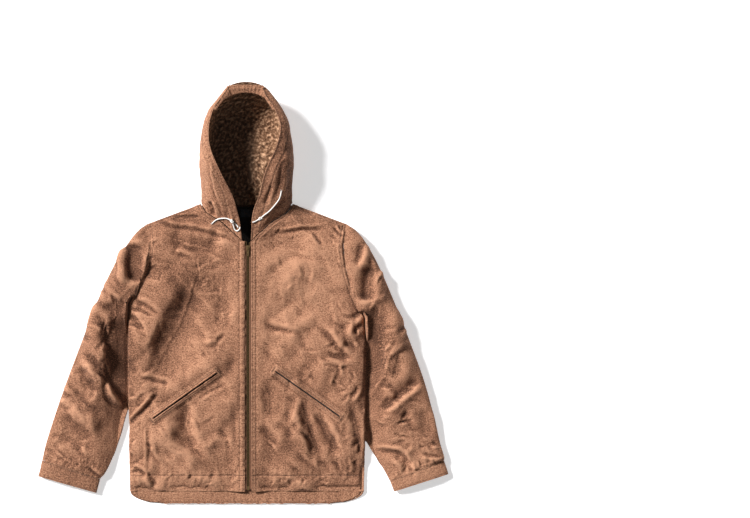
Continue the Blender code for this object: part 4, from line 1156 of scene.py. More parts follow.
FRONT_PATCHES = [
    # centre x, y, reach x, y, heading, spread, count, length, half width, depth
    (-235, 400, 35, 60, -25, 25, 14, 60, 5, 1.7),
    (-235, 250, 40, 60, 10, 35, 14, 55, 5, 1.5),
    (-245, 90, 30, 80, 40, 40, 12, 45, 5, 1.5),
    (-150, 330, 90, 110, -50, 40, 22, 70, 7, 1.2),
    (-120, 520, 90, 70, -10, 30, 16, 70, 6, 1.1),
    (-60, 430, 50, 140, 60, 35, 16, 50, 5, 0.9),
    (-110, 110, 110, 70, -60, 30, 22, 70, 7, 1.4),
    (-130, 18, 130, 18, 55, 20, 30, 30, 4, 1.3),
    (-25, 300, 14, 280, 45, 25, 44, 22, 3.2, 0.8),
    (-215, 540, 20, 60, 20, 30, 10, 35, 4, 1.2),
    (120, 330, 100, 80, -35, 30, 24, 70, 7, 1.3),
    (225, 330, 40, 110, -45, 35, 26, 55, 5.5, 1.8),
    (130, 510, 90, 80, -20, 40, 14, 80, 7, 0.9),
    (215, 560, 25, 60, -50, 30, 12, 45, 4.5, 1.3),
    (70, 590, 50, 22, 30, 40, 16, 30, 4, 1.1),
    (150, 120, 100, 80, -62, 20, 24, 80, 8, 1.7),
    (245, 160, 25, 110, 75, 30, 16, 50, 5, 1.6),
    (140, 18, 130, 18, 50, 22, 30, 30, 4, 1.4),
    (30, 300, 14, 280, -50, 30, 40, 24, 3.2, 0.8),
]
TOP_CREASES = [
    # wearer's right sleeve
    (((-266, 584), (-268, 533), (-260, 482)), 17, 9.0, -0.35, (0.15, 0.25)),
    (((-247, 560), (-243, 520), (-252, 480)), 7, 3.0, 0.5),
    (((-306, 462), (-300, 350), (-282, 255)), 30, 8.0, -0.35, (0.2, 0.2)),
    (((-345, 425), (-322, 352), (-306, 300), (-278, 262)), 13, 4.6, 0.45, (0.2, 0.2)),
    (((-378, 332), (-326, 272), (-292, 224), (-283, 186)), 11, 5.0, -0.7, (0.25, 0.15)),
    (((-327, 274), (-327, 232), (-289, 181)), 6, 3.6, 0.6),
    (((-350, 470), (-340, 440), (-310, 425)), 8, 2.4, 0.5),
    (((-345, 395), (-330, 380), (-318, 350)), 6, 2.4, -0.6),
    (((-392, 300), (-372, 268), (-345, 236)), 12, 3.0, 0.5),
    (((-412, 246), (-372, 200), (-325, 178)), 14, 3.6, -0.4),
    (((-432, 190), (-398, 152), (-352, 120)), 15, 3.4, 0.4),
    (((-369, 57), (-352, 42), (-335, 32)), 5, 3.0, 0.6),
    (((-440, 130), (-400, 112), (-380, 84)), 12, 2.6, -0.4),
    # wearer's left sleeve
    (((268, 585), (262, 545), (254, 520)), 8, 3.6, 0.5),
    (((292, 530), (286, 495), (283, 440)), 16, 8.0, 0.25, (0.25, 0.2)),
    (((312, 452), (306, 380), (298, 320), (290, 262)), 26, 6.0, 0.35, (0.25, 0.25)),
    (((406, 265), (355, 223), (303, 183)), 9, 4.4, 0.6, (0.2, 0.25)),
    (((366, 196), (378, 168), (390, 141)), 9, 2.2, 0.4),
    (((296, 99), (357, 90), (380, 59), (394, 29)), 6, 4.0, 0.6, (0.2, 0.15)),
    (((406, 90), (432, 84), (457, 80)), 5, 2.6, -0.6),
    (((345, 330), (350, 290), (338, 258)), 16, 3.4, 0.4),
    (((318, 258), (345, 236), (360, 215)), 10, 2.4, -0.5),
    (((340, 90), (366, 66), (372, 48)), 7, 3.0, -0.6),
    (((410, 200), (420, 160), (416, 120)), 18, 2.6, 0.3),
]
TOP_PATCHES = [
    (-300, 500, 40, 70, -70, 30, 12, 60, 6, 1.5),
    (-345, 340, 40, 80, -60, 30, 20, 60, 6, 1.8),
    (-370, 220, 60, 70, -40, 25, 22, 70, 7, 1.8),
    (-410, 110, 60, 50, -25, 30, 20, 50, 6, 1.6),
    (-405, 62, 60, 14, 75, 25, 24, 22, 3.5, 1.2),
    (300, 500, 35, 70, 70, 30, 12, 60, 6, 1.4),
    (350, 340, 35, 90, 65, 25, 16, 70, 7, 1.5),
    (350, 210, 50, 60, 35, 30, 18, 60, 6, 1.6),
    (390, 110, 60, 50, 5, 35, 18, 50, 5, 1.6),
    (395, 62, 55, 16, -70, 25, 24, 24, 3.5, 1.4),
]
UNDER_PATCHES = [
    (-350, 350, 70, 200, 40, 30, 40, 80, 8, 1.2),
    (-400, 120, 70, 80, -20, 30, 20, 50, 6, 1.2),
    (350, 350, 70, 200, -40, 30, 40, 80, 8, 1.2),
    (400, 120, 70, 80, 20, 30, 20, 50, 6, 1.2),
]
BACK_CREASES = [
    (((-190, 600), (-120, 575), (-20, 590)), 8, 1.6, 0.3),
    (((190, 600), (120, 570), (30, 575)), 8, 1.6, 0.3),
    (((-240, 480), (-180, 420), (-120, 390)), 12, 1.8, 0.3),
    (((240, 470), (190, 400), (110, 380)), 12, 1.8, 0.3),
    (((-255, 250), (-190, 270), (-120, 330)), 10, 1.5, 0.3),
    (((255, 260), (200, 250), (130, 300)), 10, 1.5, 0.3),
    (((-180, 160), (-150, 110), (-120, 60)), 12, 1.5, 0.3),
    (((160, 170), (150, 110), (180, 60)), 12, 1.5, 0.3),
]
BACK_PATCHES = [
    (0, 560, 220, 80, 0, 40, 30, 70, 7, 0.9),
    (0, 330, 240, 200, 40, 50, 60, 80, 8, 0.9),
    (0, 100, 250, 90, 70, 40, 40, 60, 7, 0.9),
    (0, 0, 250, 30, 70, 25, 60, 26, 4, 0.9),
]


def groove(distance, at, depth=0.55, width=1.3):
    """The dent of a row of stitches at this distance from an edge."""
    return -depth * np.exp(-(((distance - at) / width) ** 2))


def grooves(distance, *rows):
    """Rows of stitches side by side: each a distance, then a depth and width if they aren't the usual."""
    return sum(groove(distance, *row) for row in rows)


def arcs(grid):
    """Distance along each row from its start, and from its end."""
    step = np.linalg.norm(np.diff(grid, axis=1), axis=-1)
    start = np.concatenate([np.zeros((len(grid), 1)), np.cumsum(step, axis=1)], axis=1)
    return start, start[:, -1:] - start


def pocket_way(side, x, y):
    """Distance along a pocket's opening and up across it, and its length."""
    (x0, y0), (x1, y1) = POCKETS[side]
    path = np.array([(SIDES[side] * x0, y0), (SIDES[side] * x1, y1)], float)
    length = np.hypot(*(path[1] - path[0]))
    way = (path[1] - path[0]) / length
    dx, dy = x - path[0, 0], y - path[0, 1]
    return dx * way[0] + dy * way[1], (-dx * way[1] + dy * way[0]) * SIDES[side], length


def pocket_relief(side, x, y):
    """The welted pocket's frame stands up, with its stitching sunk and the cloth below it pulled."""
    forward, across, length = pocket_way(side, x, y)
    reach, half = POCKET_FRAME
    outside = np.maximum(np.abs(across - 1) - half, np.maximum(-forward, forward - length) - reach)
    raised = 2.1 * ease((1.5 - outside) / 2.2)
    sunk = groove(np.abs(outside + 2.2), 0, 1.5, 1.3) + groove(outside, 2.2, 0.8, 1.8)
    sunk -= 2.6 * np.exp(-((across / 2.6) ** 2)) * ease((length - np.abs(2 * forward - length)) / 8)
    ripple = 0.5 * noise(forward, across * 0.3, 11, 60) * np.exp(-np.maximum(outside, 0) / 9)
    return raised + sunk + ripple


def front_relief(side, grid):
    """How far each place of a front stands out from its smooth form."""
    x, y = grid[..., 0], grid[..., 1]
    h = creases(x, y, FRONT_CREASES, 5, 2.5) + creases(x, y, scatter(FRONT_PATCHES, 3), 9, 2.0)
    h += swells(x, y, (95, 21, 2.6), (48, 22, 0.8), (17, 23, 0.3))
    h += crumples(x, y, (120, 24, 0.9, 12.0), (95, 28, -0.7, -10.0), (36, 32, 0.4, 2.6), (62, 52, 1.2, 3.0))
    start, end = arcs(grid)
    sides = np.minimum(end, np.where(y > ZIP_TOP, start, 99.0))
    h *= 0.15 + 0.85 * ease(sides / 7) * ease(y / 9)
    h *= 0.06 + 0.94 * ease((start - 5) / 36)
    h = np.where(h > 0, HIGHEST_FOLD * np.tanh(h / HIGHEST_FOLD), DEEPEST_FOLD * np.tanh(h / DEEPEST_FOLD))
    h -= HEM_DIP * (1 - ease(y / 30)) * ease((start - 8) / 40) * ease((end - 4) / 20)
    h += pocket_relief(side, x, y)
    h += puckers(y, end, 9, 1.3, 9, 31) + puckers(y, start, 8, 1.7, 12, 33)
    h += puckers(x, np.abs(y - HEM_STITCH), 9, 1.5, 11, 35) + puckers(x, y, 12, 0.9, 9, 37)
    return h + front_grooves(side, y, start, end)


def front_grooves(side, y, start, end):
    """The dents of the stitches on a front, and the strip along the zip that stands up."""
    at_edge, at_placket = EDGE_STITCH[side]
    by_zip = y < ZIP_TOP + 8
    h = grooves(y, (HEM_STITCH, 1.3, 1.5), (3.5, 0.5))
    h += np.where(y > ARMPIT[side] - 4, grooves(end, (2.2, 0.6), (9.0, 1.1, 1.6)), groove(end, 2.5, 0.4))
    h += np.where(y > ZIP_TOP, grooves(start, (2.5, 0.6), (8.5, 1.0, 1.6)), 0)
    h += np.where(by_zip, grooves(start, (at_edge, 0.7), (at_placket, 1.2, 1.7)), 0)
    h += 0.7 * ease((at_placket - start) / 2) * by_zip
    return h


def build_fronts():
    """The two fronts, creased, with their pockets' frames."""
    for side, sign in SIDES.items():
        grid = front_grid(side)
        start, end = arcs(grid)
        border = nearest(start, end, grid[..., 1])
        towards = (sign * 120, 300, FAR)
        relief = front_relief(side, grid)
        outer = moved(grid, towards, relief)
        least = underside(side, np.abs(outer[..., 0]), outer[..., 1]) + INSIDE_ROOM * ease(border / 16)
        least -= EDGE_OVERLAP
        above = outer[..., 2] - least
        outer[..., 2] = np.where(border > 1, least + 1.5 * np.logaddexp(0.0, above / 1.5), outer[..., 2])
        cut = cut_of(start + np.abs(grid[:, :1, 0]), grid[..., 1], 700 * sign)
        forward, across, length = pocket_way(side, grid[..., 0], grid[..., 1])
        # painted shade in the pocket's opening: here the front's outer side goes near black
        slit = ease((5.5 - np.abs(across)) / 2) * ease((forward + 1) / 3) * ease((length + 1 - forward) / 3)
        shell(
            f"canvas_front_{side}", outer, border, towards, CLOTH, CANVAS, cut, relief, dark=slit,
            slot="canvas", replaces=(f"front_{side}",),
        )


def build_backs():
    """The two backs, which the jacket lies on."""
    for side, sign in SIDES.items():
        grid, border = back_grid(side)
        x, y = grid[..., 0], grid[..., 1]
        start, _ = arcs(grid)
        towards = (sign * 120, 300, -FAR)
        h = creases(x, y, BACK_CREASES, 15) + creases(x, y, scatter(BACK_PATCHES, 13), 19)
        h = np.minimum(0.0, h + 0.5 * noise(x, y, 60, 24)) * ease(border / 8)
        h += puckers(y, start, 9, 0.25, 8, 36) * ease(border / 3) - 0.25 * ease(border / 3)
        h += groove(start, 2.2, 0.35) + groove(start, 9.0, 0.5) + groove(y, HEM_DEPTH - TAIL_DROP, 0.5)
        outer = moved(grid, towards, h)
        raised_to(outer, 0.0)
        cut = cut_of(start, y, 300 * sign)
        shell(
            f"canvas_back_{side}", outer, border, towards, CLOTH, CANVAS, cut, h,
            slot="canvas", replaces=(f"back_{side}",),
        )


# ---------------------------------------------------------------- sleeves and cuffs

# Where rows of stitches run on the pieces that aren't flat, kept as those pieces are made
HOOD_LINES_MADE = {}
SLEEVE_LINES = {"left": [], "right": []}
CUFF_LINES = {"left": [], "right": []}


def sleeve_relief(side, grid, normal, end_border, walked):
    """How far each place of a sleeve stands out from its smooth form."""
    sign = SIDES[side]
    x, y = grid[..., 0], grid[..., 1]
    over = creases(x, y, TOP_CREASES, 25, 2.0) + creases(x, y, scatter(TOP_PATCHES, 23), 29, 2.0)
    over += swells(x, y, (70, 25, 1.8), (34, 26, 0.5)) + 6.5 * crumple(x, y, 85, 27, -sign * 0.7)
    over += crumples(x, y, (34, 38, sign * 0.5, 2.2), (100, 42, sign * 0.9, -6.5))
    under = creases(x, y, scatter(UNDER_PATCHES, 33), 39)
    under = -np.abs(under) - 0.5 * np.maximum(0, noise(x, y, 60, 27))
    upward = ease((normal[..., 2] + 0.15) / 0.5)
    h = over * upward + under * (1 - upward)
    out = body_row(side, y.ravel())[:, 0].reshape(y.shape)
    below_armpit = 1 - ease((y - ARMPIT[side] + 16) / 22)
    covered = (1 - ease((np.abs(x) - out - 1) / 12)) * below_armpit
    h += (np.minimum(h, 0.0) * 0.5 - h) * covered
    h *= 0.25 + 0.75 * ease(end_border / 9)
    h *= 0.35 + 0.65 * ease((np.abs(normal[..., 2]) - 0.1) / 0.5)
    edge_z = 0.5 * (grid[:, :1, 2] + grid[:, RING : RING + 1, 2])
    deepest = -1.0 - SLEEVE_GIVE * np.maximum(0.0, grid[..., 2] - edge_z)
    h = deepest + SLEEVE_EASE * np.logaddexp(0.0, (h - deepest) / SLEEVE_EASE)
    round_u, _ = arcs(grid)
    to_cuff = walked[-1:] - walked
    h += puckers(round_u, to_cuff, 9, 1.0, 12, 51) + puckers(round_u, walked, 9, 0.7, 9, 53)
    h += groove(to_cuff, 2.0, 0.5)
    beneath = (np.abs(x) < out + 2) & (y < ARMPIT[side] - 4)
    return np.where(upward < 0.3, np.minimum(h, 0.0), h), beneath


def sleeve_part(outer, grid, keep, normal, part):
    """The points of one of a sleeve's two pieces, parted from the other by half a millimetre and a dent, with
    the distances along its rows."""
    piece = outer[:, keep].copy()
    start, end = arcs(grid[:, keep])
    for edge, neighbour in ((0, 1), (-1, -2)):
        piece[:, edge] += unit(piece[:, neighbour] - piece[:, edge], 1e-6) * 0.5
    dent = groove(start, 0, 0.9, 1.6) + groove(end, 0, 0.9, 1.6)
    dent += groove(start if part == "under" else end, 6.5, 0.5)
    piece += normal[:, keep] * dent[..., None]
    raised_to(piece, LOWEST)
    return piece, start, end


def build_sleeves():
    """Both sleeves, each in a top and an under piece."""
    seam = RING + int(round(RING * math.acos(1 - 2 * BACK_SEAM_ACROSS) / math.pi))
    columns = {"top": np.arange(0, seam + 1), "under": np.concatenate([np.arange(seam, 2 * RING), [0]])}
    for side, sign in SIDES.items():
        grid, end_border = sleeve_grid(side)
        normal = ring_normals(grid)
        walked = walk(grid.mean(axis=1))[:, None] + 0 * grid[..., 0]
        h, beneath = sleeve_relief(side, grid, normal, end_border, walked)
        outer = grid + normal * h[..., None]
        raised_to(outer, LOWEST)
        outer = clear_of_body(side, outer, beneath)
        outer_normal = ring_normals(outer)
        for part, keep in columns.items():
            piece, start, end = sleeve_part(outer, grid, keep, normal, part)
            border = nearest(start, end, end_border[:, keep])
            cut = cut_of(*sleeve_cut(side, grid, keep), 100 * sign + 50 * len(part))
            normals = outer_normal[:, keep]
            shell(
                f"canvas_sleeve_{part}_{side}", piece, border, None, CLOTH, CANVAS, cut, h[:, keep],
                normal=normals, slot="canvas", replaces=(f"sleeve_{part}_{side}",),
            )
            if part == "top":
                for at in (6.5, 2.2):
                    SLEEVE_LINES[side].append(level_line((piece, normals, end, start), at))


def sleeve_cut(side, grid, keep):
    """Where each point lies on the flat cloth: across and along the sleeve, with its height unrolled."""
    (ax, ay), (bx, by) = SLEEVE_AXIS[side]
    way = np.array([bx - ax, by - ay]) / math.hypot(bx - ax, by - ay)
    plan = grid[..., :2] * (SIDES[side], 1)
    across, down = plan @ np.array([way[1], -way[0]]), plan @ way
    crest = grid[..., 2].max(axis=1, keepdims=True)
    outboard = np.where(np.arange(grid.shape[1]) % RING < RING / 2, 1.0, -1.0)
    across = across + outboard * (crest - grid[..., 2]) * 0.8
    return across[:, keep], down[:, keep]


def ring_normals(grid):
    """Outward normals of rings round a flattened tube."""
    down = np.gradient(grid, axis=0)
    around = np.roll(grid, -1, axis=1) - np.roll(grid, 1, axis=1)
    normal = unit(np.cross(down, around))
    away = grid - grid.mean(axis=1, keepdims=True)
    return normal * np.sign(np.einsum("ijk,ijk->ij", normal, away).sum())


def clear_of_body(side, outer, beneath):
    """Keeps the part of a sleeve that lies under the body below the back panel."""
    x, y = np.abs(outer[..., 0]), outer[..., 1]
    limit = sleeve_ceiling(side, x, y) + 0.6
    outer[..., 2] = np.where(beneath, np.minimum(outer[..., 2], limit), outer[..., 2])
    return outer


def build_cuffs():
    """The bands at the sleeves' ends."""
    for side, sign in SIDES.items():
        grid, border = cuff_grid(side)
        x, y = grid[..., 0], grid[..., 1]
        walked = walk(grid.mean(axis=1))[:, None] + 0 * x
        round_u, _ = arcs(grid)
        normal = ring_normals(grid)
        h = 0.7 * noise(x, y, 30, 61) + puckers(round_u, walked, 8, 0.9, 9, 63)
        h += creases(x, y, TOP_CREASES, 25) * ease(border / 4) * 0.7
        h += puckers(round_u, walked[-1:] - walked, 12, 0.35, 6, 65)
        h += groove(walked, 2.4, 0.5) + groove(walked[-1:] - walked, 4.0, 0.4) - 0.3
        h = np.where(normal[..., 2] < 0.1, np.minimum(h, 0.0), h)
        outer = grid + normal * h[..., None]
        raised_to(outer, LOWEST)
        cut = cut_of(round_u, walked, 900 * sign)
        normals = ring_normals(outer)
        shell(
            f"canvas_cuff_{side}", outer, border, None, 2.4, CANVAS, cut, h, closed=True, normal=normals,
            slot="canvas", replaces=(f"cuff_{side}",),
        )
        lengthwise = np.moveaxis(outer, 0, 1), np.moveaxis(normals, 0, 1), (walked[-1:] - walked).T, walked.T
        CUFF_LINES[side].append(level_line(lengthwise, 2.4, from_seam=True))
        CUFF_LINES[side].append(level_line(lengthwise, 4.0))


# ---------------------------------------------------------------- the hood

HOOD_CREASES = [
    (((-89, 769), (-80, 710), (-64, 669), (-55, 647)), 4, 1.8, 0.5, (0.2, 0.2)),
    (((-86, 679), (-80, 660), (-74, 638)), 6, 5.0, 0.4),
    (((-48, 660), (-42, 640), (-38, 618)), 5, 1.8, 0.6),
    (((-30, 640), (-26, 622), (-26, 606)), 4, 1.5, -0.6),
    (((88, 790), (84, 735), (70, 690), (52, 664)), 9, 3.4, 0.5),
    (((101, 770), (98, 720), (90, 690)), 7, 2.6, -0.5),
    (((64, 720), (52, 690), (40, 662)), 6, 2.0, 0.5),
    (((92, 690), (80, 668), (62, 650)), 6, 2.8, 0.5),
    (((97, 845), (100, 810), (97, 780)), 7, 1.8, 0.4),
    (((40, 655), (34, 640), (30, 625)), 4, 1.4, 0.5),
]


def hood_forms(side):
    """A hood side's smooth grid, and how far its creases stand out from it."""
    grid, border, to_rim = hood_grid(side)
    rows = walk(grid[:, 40])[:, None] + 0 * to_rim
    x, y = grid[..., 0], grid[..., 1]
    normal = -grid_normals(grid, HOOD_INSIDE)
    upward = ease((normal[..., 2] + 0.1) / 0.5)
    h = 1.7 * creases(x, y, HOOD_CREASES, 45) * upward + 3.0 * crumple(to_rim, rows, 75, 47, 0.6)
    seed = 71 if side == "left" else 73
    h += 1.3 * noise(to_rim, rows, 60, seed) + 0.7 * noise(to_rim, rows, 26, seed + 1)
    patches = [(70, 120, 70, 120, 80, 30, 26, 60, 6, 1.1), (90, 20, 90, 22, 90, 30, 22, 30, 4, 1.2)]
    h += creases(to_rim, rows, scatter(patches, seed + 2), seed + 3)
    h *= 0.3 + 0.7 * ease(border / 8)
    h += puckers(rows, to_rim, 10, 0.5, 10, seed + 4) + puckers(to_rim, rows, 8, 0.9, 14, seed + 5)
    h += groove(to_rim, CASING, 0.9, 1.6) + groove(to_rim, 3.0, 0.4) + 0.5 * ease((CASING - to_rim) / 3)
    h += groove(rows, 2.4, 0.4)
    start, _ = arcs(grid)
    h += groove(start, 2.4, 0.4) + groove(start, 9.0, 0.5)
    return grid, border, to_rim, rows, normal, h, start


def build_hood():
    """The hood's sides with their facings, its centre strip, its crown's facing and its lining."""
    linings = {}
    for side, sign in SIDES.items():
        grid, border, to_rim, rows, normal, h, start = hood_forms(side)
        outer = grid + normal * h[..., None]
        raised_to(outer, LOWEST)
        way = tuple(np.array(HOOD_INSIDE) + (sign * FAR, 0, FAR * 0.4))
        cut = grid * (sign, 1, 1) + (1500 * sign, 0, 0)
        shell(
            f"canvas_hood_{side}", outer, border, way, CLOTH, CANVAS, cut, h, normal=normal,
            slot="canvas", replaces=(f"hood_side_{side}",),
        )
        behind = outer - normal * (CLOTH + 0.3)
        keep = to_rim[40] < FACING_DEPTH + 6
        facing, near = behind[:, keep], to_rim[:, keep]
        facing_border = nearest(near, near.max(axis=1, keepdims=True) - near, rows[:, keep])
        shell(
            f"hood_facing_{side}", facing, facing_border, way, 1.4, SHADED_FACING, cut[:, keep], 0 * near,
            normal=-normal[:, keep], slot="canvas",
        )
        linings[side] = (outer, normal)
        HOOD_LINES_MADE[side] = (outer, normal, to_rim, start)
    centre, border = hood_centre_grid()
    normal = -grid_normals(centre, HOOD_INSIDE)
    start, end = arcs(centre)
    rows = walk(centre[:, 17])[:, None] + 0 * start
    h = 0.6 * noise(start, rows, 40, 81) * ease(border / 8) + groove(start, 2.4, 0.4) + groove(end, 2.4, 0.4)
    h += groove(start, 9.0, 0.4) + groove(end, 9.0, 0.4)
    h = np.where(normal[..., 2] < 0.1, np.minimum(h, 0.0), h)
    outer = centre + normal * h[..., None]
    raised_to(outer, 0.02)
    shell(
        "canvas_hood_centre", outer, border, None, CLOTH, CANVAS, cut_of(start, rows, 2500), h, normal=normal,
        slot="canvas", replaces=("hood_centre",),
    )
    build_crown_facing()
    build_lining(linings, centre, normal)


def build_crown_facing():
    """Over the crown the rim is gathered on its cord and rolls in, so its facing shows from the front."""
    left, right = (np.array([row[k] for row in HOOD_ROWS[6:]], float) for k in (-1, -2))
    right *= (-1, 1, 1)
    rim = through(np.concatenate([right, [(0, 944.6, 81.4)], left[::-1]]), 200)
    length = walk(rim)[-1]
    stops = rolled(length, 170)
    rim = along(rim, stops)
    inward = ARCH_CENTRE - rim[:, :2]
    distance = np.linalg.norm(inward, axis=1)
    inward /= distance[:, None]
    middle = np.sin(math.pi * stops / length) ** 0.7
    width = np.maximum(5.0, distance - 1 / np.linalg.norm(inward / ARCH_RADII, axis=1)) + 1.5
    across = np.linspace(0, 1, 26)
    gathers = noise(stops, 0 * stops, 9, 141) + 0.6 * noise(stops, 0 * stops, 4.5, 142)
    t = across[None, :]
    plan = rim[:, None, :2] + inward[:, None, :] * (width[:, None] * t - 1.5)[..., None]
    z = rim[:, None, 2] - 0.9 - 5.0 * t**2 * middle[:, None]
    z = z + 1.3 * gathers[:, None] * np.sin(math.pi * np.clip(t * 1.1, 0, 1))
    z += 0.9 * np.exp(-(((t * width[:, None] - 9) / 3.0) ** 2)) * middle[:, None]
    grid = np.concatenate([plan, z[..., None]], -1)
    ends = np.minimum(stops, length - stops)[:, None]
    border = nearest(nearest(t, 1 - t) * width[:, None], ends)
    cut = cut_of(stops[:, None] + 0 * t, width[:, None] * t, 5000)
    relief = 1.6 * gathers[:, None] + 0 * t
    shell("hood_facing_crown", grid, border, (0, 900, FAR), 1.6, CANVAS, cut, relief, slot="canvas")


def build_lining(sides, centre, centre_normal):
    """The sherpa's surface: across from the wearer's right rim, round the back of the head, to the left."""
    strips = []
    stops = np.linspace(0, 1, LINING_ROWS)
    for side in ("right", "left"):
        outer, normal = sides[side]
        skin = outer - normal * (CLOTH + LINING_GAP)
        strips.append(resample(skin, stops, LINING_SIDE, side))
    middle = resample(centre - centre_normal * (CLOTH + LINING_GAP), stops, LINING_CENTRE, "centre")
    right, left = strips
    whole = np.concatenate([right[:, ::-1], middle[:, 1:-1], left], axis=1)
    for _ in range(6):
        whole[:, 1:-1] = 0.25 * whole[:, :-2] + 0.5 * whole[:, 1:-1] + 0.25 * whole[:, 2:]
    start, end = arcs(whole)
    rows = walk(whole[:, whole.shape[1] // 4])[:, None] + 0 * start
    normal = grid_normals(whole, HOOD_INSIDE)
    lump = swells(start, rows, (9.5, 91, 1.5), (5.6, 92, 1.5), (3.4, 93, 0.8))
    fold = creases(start, rows, LINING_FOLDS, 95) + 2.5 * noise(start, rows, 55, 96)
    side_distance = np.minimum(start, end)
    at_crown = ease((rows[-1:] - rows) / 16)
    h = (PILE - 1.2 + fold) * ease(side_distance / 5) * at_crown + lump * ease(side_distance / 3)
    h = np.clip(h, 0.6, 9.0)
    outer = whole + normal * h[..., None]
    raised_to(outer, 2.4)
    border = nearest(start, end, rows, rows[-1:] - rows)
    # painted shade deep in the hood, less on the wearer's left side, where the lining goes towards near black
    deep = 0.95 * ease((LINING_LIT - outer[..., 2]) / LINING_FADE)
    deep = deep * (1 - 0.85 * ease((outer[..., 0] - 2) / 34))
    shell(
        "sherpa_lining", outer, border, None, 1.6, SHERPA, cut_of(start, rows, 3000), lump, normal=normal,
        dark=deep, slot="sherpa", replaces=("hood_lining",),
    )


LINING_FOLDS = [
    (((70, 40), (120, 90), (170, 100)), 12, 3.0, 0.5),
    (((330, 60), (280, 100), (230, 110)), 12, 3.0, -0.5),
    (((60, 180), (110, 200), (160, 190)), 14, 2.6, 0.5),
    (((340, 190), (290, 210), (240, 200)), 14, 2.6, 0.5),
]


def resample(grid, stops, columns, side):
    """A grid with these shares down it, and evenly spaced columns; a side panel stops short of its rim."""
    rows = np.linspace(0, 1, len(grid))
    columns_down = [
        np.stack([np.interp(stops, rows, grid[:, j, k]) for k in range(3)], -1) for j in range(grid.shape[1])
    ]
    fine = np.stack(columns_down, 1)
    found = []
    for line in fine:
        length = walk(line)[-1]
        last = length - (FACING_DEPTH if side != "centre" else 0.0) * min(1.0, length / 60)
        found.append(along(line, np.linspace(0, last, columns)))
    return np.array(found)


# ---------------------------------------------------------------- hem facing, label, pockets


def build_hem_facing():
    """The back hem, turned up inside: it shows where the tail is longer than the front."""
    halves = []
    for side, sign in (("right", -1), ("left", 1)):
        grid, _ = back_grid(side)
        keep = [i for i in range(len(grid)) if grid[i, 0, 1] <= HEM_DEPTH - TAIL_DROP]
        grid = grid[keep]
        _, end = arcs(grid)
        normal = grid_normals(grid, (sign * 120, 300, FAR))
        skin = grid + normal * (2 * CLOTH + 0.3)
        skin[..., 0] -= sign * np.maximum(0.0, 3.0 - end)
        skin = skin[:, :HEM_FACING_COLUMNS]
        halves.append(skin if side == "left" else skin[:, ::-1])
    whole = np.concatenate([halves[0][:, :-1], halves[1][:, 1:]], axis=1)
    whole[0, :, 1] += 0.6
    start, end = arcs(whole)
    down = walk(whole[:, whole.shape[1] // 2])[:, None] + 0 * start
    border = nearest(start, end, down, down[-1:] - down)
    h = 0.6 * noise(whole[..., 0], whole[..., 1], 40, 101) + puckers(whole[..., 0], down, 10, 1.4, 16, 103)
    h += groove(down, 3.2, 0.4)
    outer = whole + np.array([0, 0, 1.0]) * (h * ease(border / 4))[..., None]
    cut = cut_of(whole[..., 0], whole[..., 1], 4000)
    shell(
        "canvas_hem_facing", outer, border, (0, 0, FAR), CLOTH, CANVAS, cut, h,
        slot="canvas", replaces=("back_hem_facing",),
    )


def build_label():
    """The plain patch at the back of the neck."""
    (x0, y0), (x1, y1) = LABEL_BOX
    xs = x0 + rolled(x1 - x0, 26)
    ys = y0 + rolled(y1 - y0, 22)
    x, y = np.meshgrid(xs, ys)
    border = nearest(x - x0, x1 - x, y - y0, y1 - y)
    z = CLOTH + 1.5 + 0.35 * noise(x, y, 14, 111) - 0.3 * groove(border, 1.2, -1, 0.5)
    shell(
        "woven_label", np.stack([x, y, z], -1), border, (0, 640, FAR), 0.8, LABEL, cut_of(x, y), 0 * x,
        slot="label", replaces=("neck_label",),
    )


def build_jets():
    """The two welts of each pocket, rolled over a cord of cloth, meeting at the opening."""
    for side, sign in SIDES.items():
        ends = np.array(POCKETS[side], float)
        ends[:, 0] *= sign
        length = np.hypot(*(ends[1] - ends[0]))
        way = (ends[1] - ends[0]) / length
        across_way = np.array([-way[1], way[0]]) * sign
        forward = rolled(length, 90)
        for name, low, high in (("upper", SLIT, JET_WIDTH), ("lower", -JET_WIDTH, -SLIT)):
            across = low + rolled(high - low, 22)
            f, a = np.meshgrid(forward, across, indexing="ij")
            x, y = (ends[0, k] + way[k] * f + across_way[k] * a for k in (0, 1))
            near = np.abs(a) - SLIT
            lift = 0.7 + 1.5 * np.exp(-((near - 1.8) / 1.9) ** 2) + 0.5 * groove(near, 4.6, 1, 0.8)
            lift += 0.25 * noise(f, a, 13, 121) * ease(near / 2)
            beside_slit = ends[0] + np.outer(f[:, 0], way)
            outer_edge = beside_slit + across_way * (6.5 if name == "upper" else -6.5)
            z = (ground_height("front", *outer_edge.T) - 0.3)[:, None] + lift
            border = nearest(f, length - f, a - low, high - a)
            shell(
                f"pocket_welt_{name}_{side}", np.stack([x, y, z], -1), border, (sign * 140, 200, FAR), 1.3,
                CANVAS, cut_of(f, a, 200 * sign), lift,
                slot="canvas", replaces=(f"pocket_jet_{name}_{side}",),
            )


# ---------------------------------------------------------------- things that lie on the cloth

TREES = {}


def ground(group):
    """Ray-casting trees of the pieces in a group, made once."""
    if group not in TREES:
        graph = bpy.context.evaluated_depsgraph_get()
        names = {
            "front": ["canvas_front_left", "canvas_front_right"],
            "neck": ["canvas_front_left", "canvas_front_right", "canvas_hood_left", "canvas_hood_right"],
            "sleeve": [f"canvas_sleeve_{p}_{s}" for p in ("top", "under") for s in SIDES],
            "cuff": [f"canvas_cuff_{s}" for s in SIDES],
            "hood": ["canvas_hood_left", "canvas_hood_right", "canvas_hood_centre"],
            "back": ["canvas_back_left", "canvas_back_right"],
            "facing": ["canvas_hem_facing"],
        }[group]
        TREES[group] = [BVHTree.FromObject(bpy.data.objects[n], graph) for n in names]
    return TREES[group]


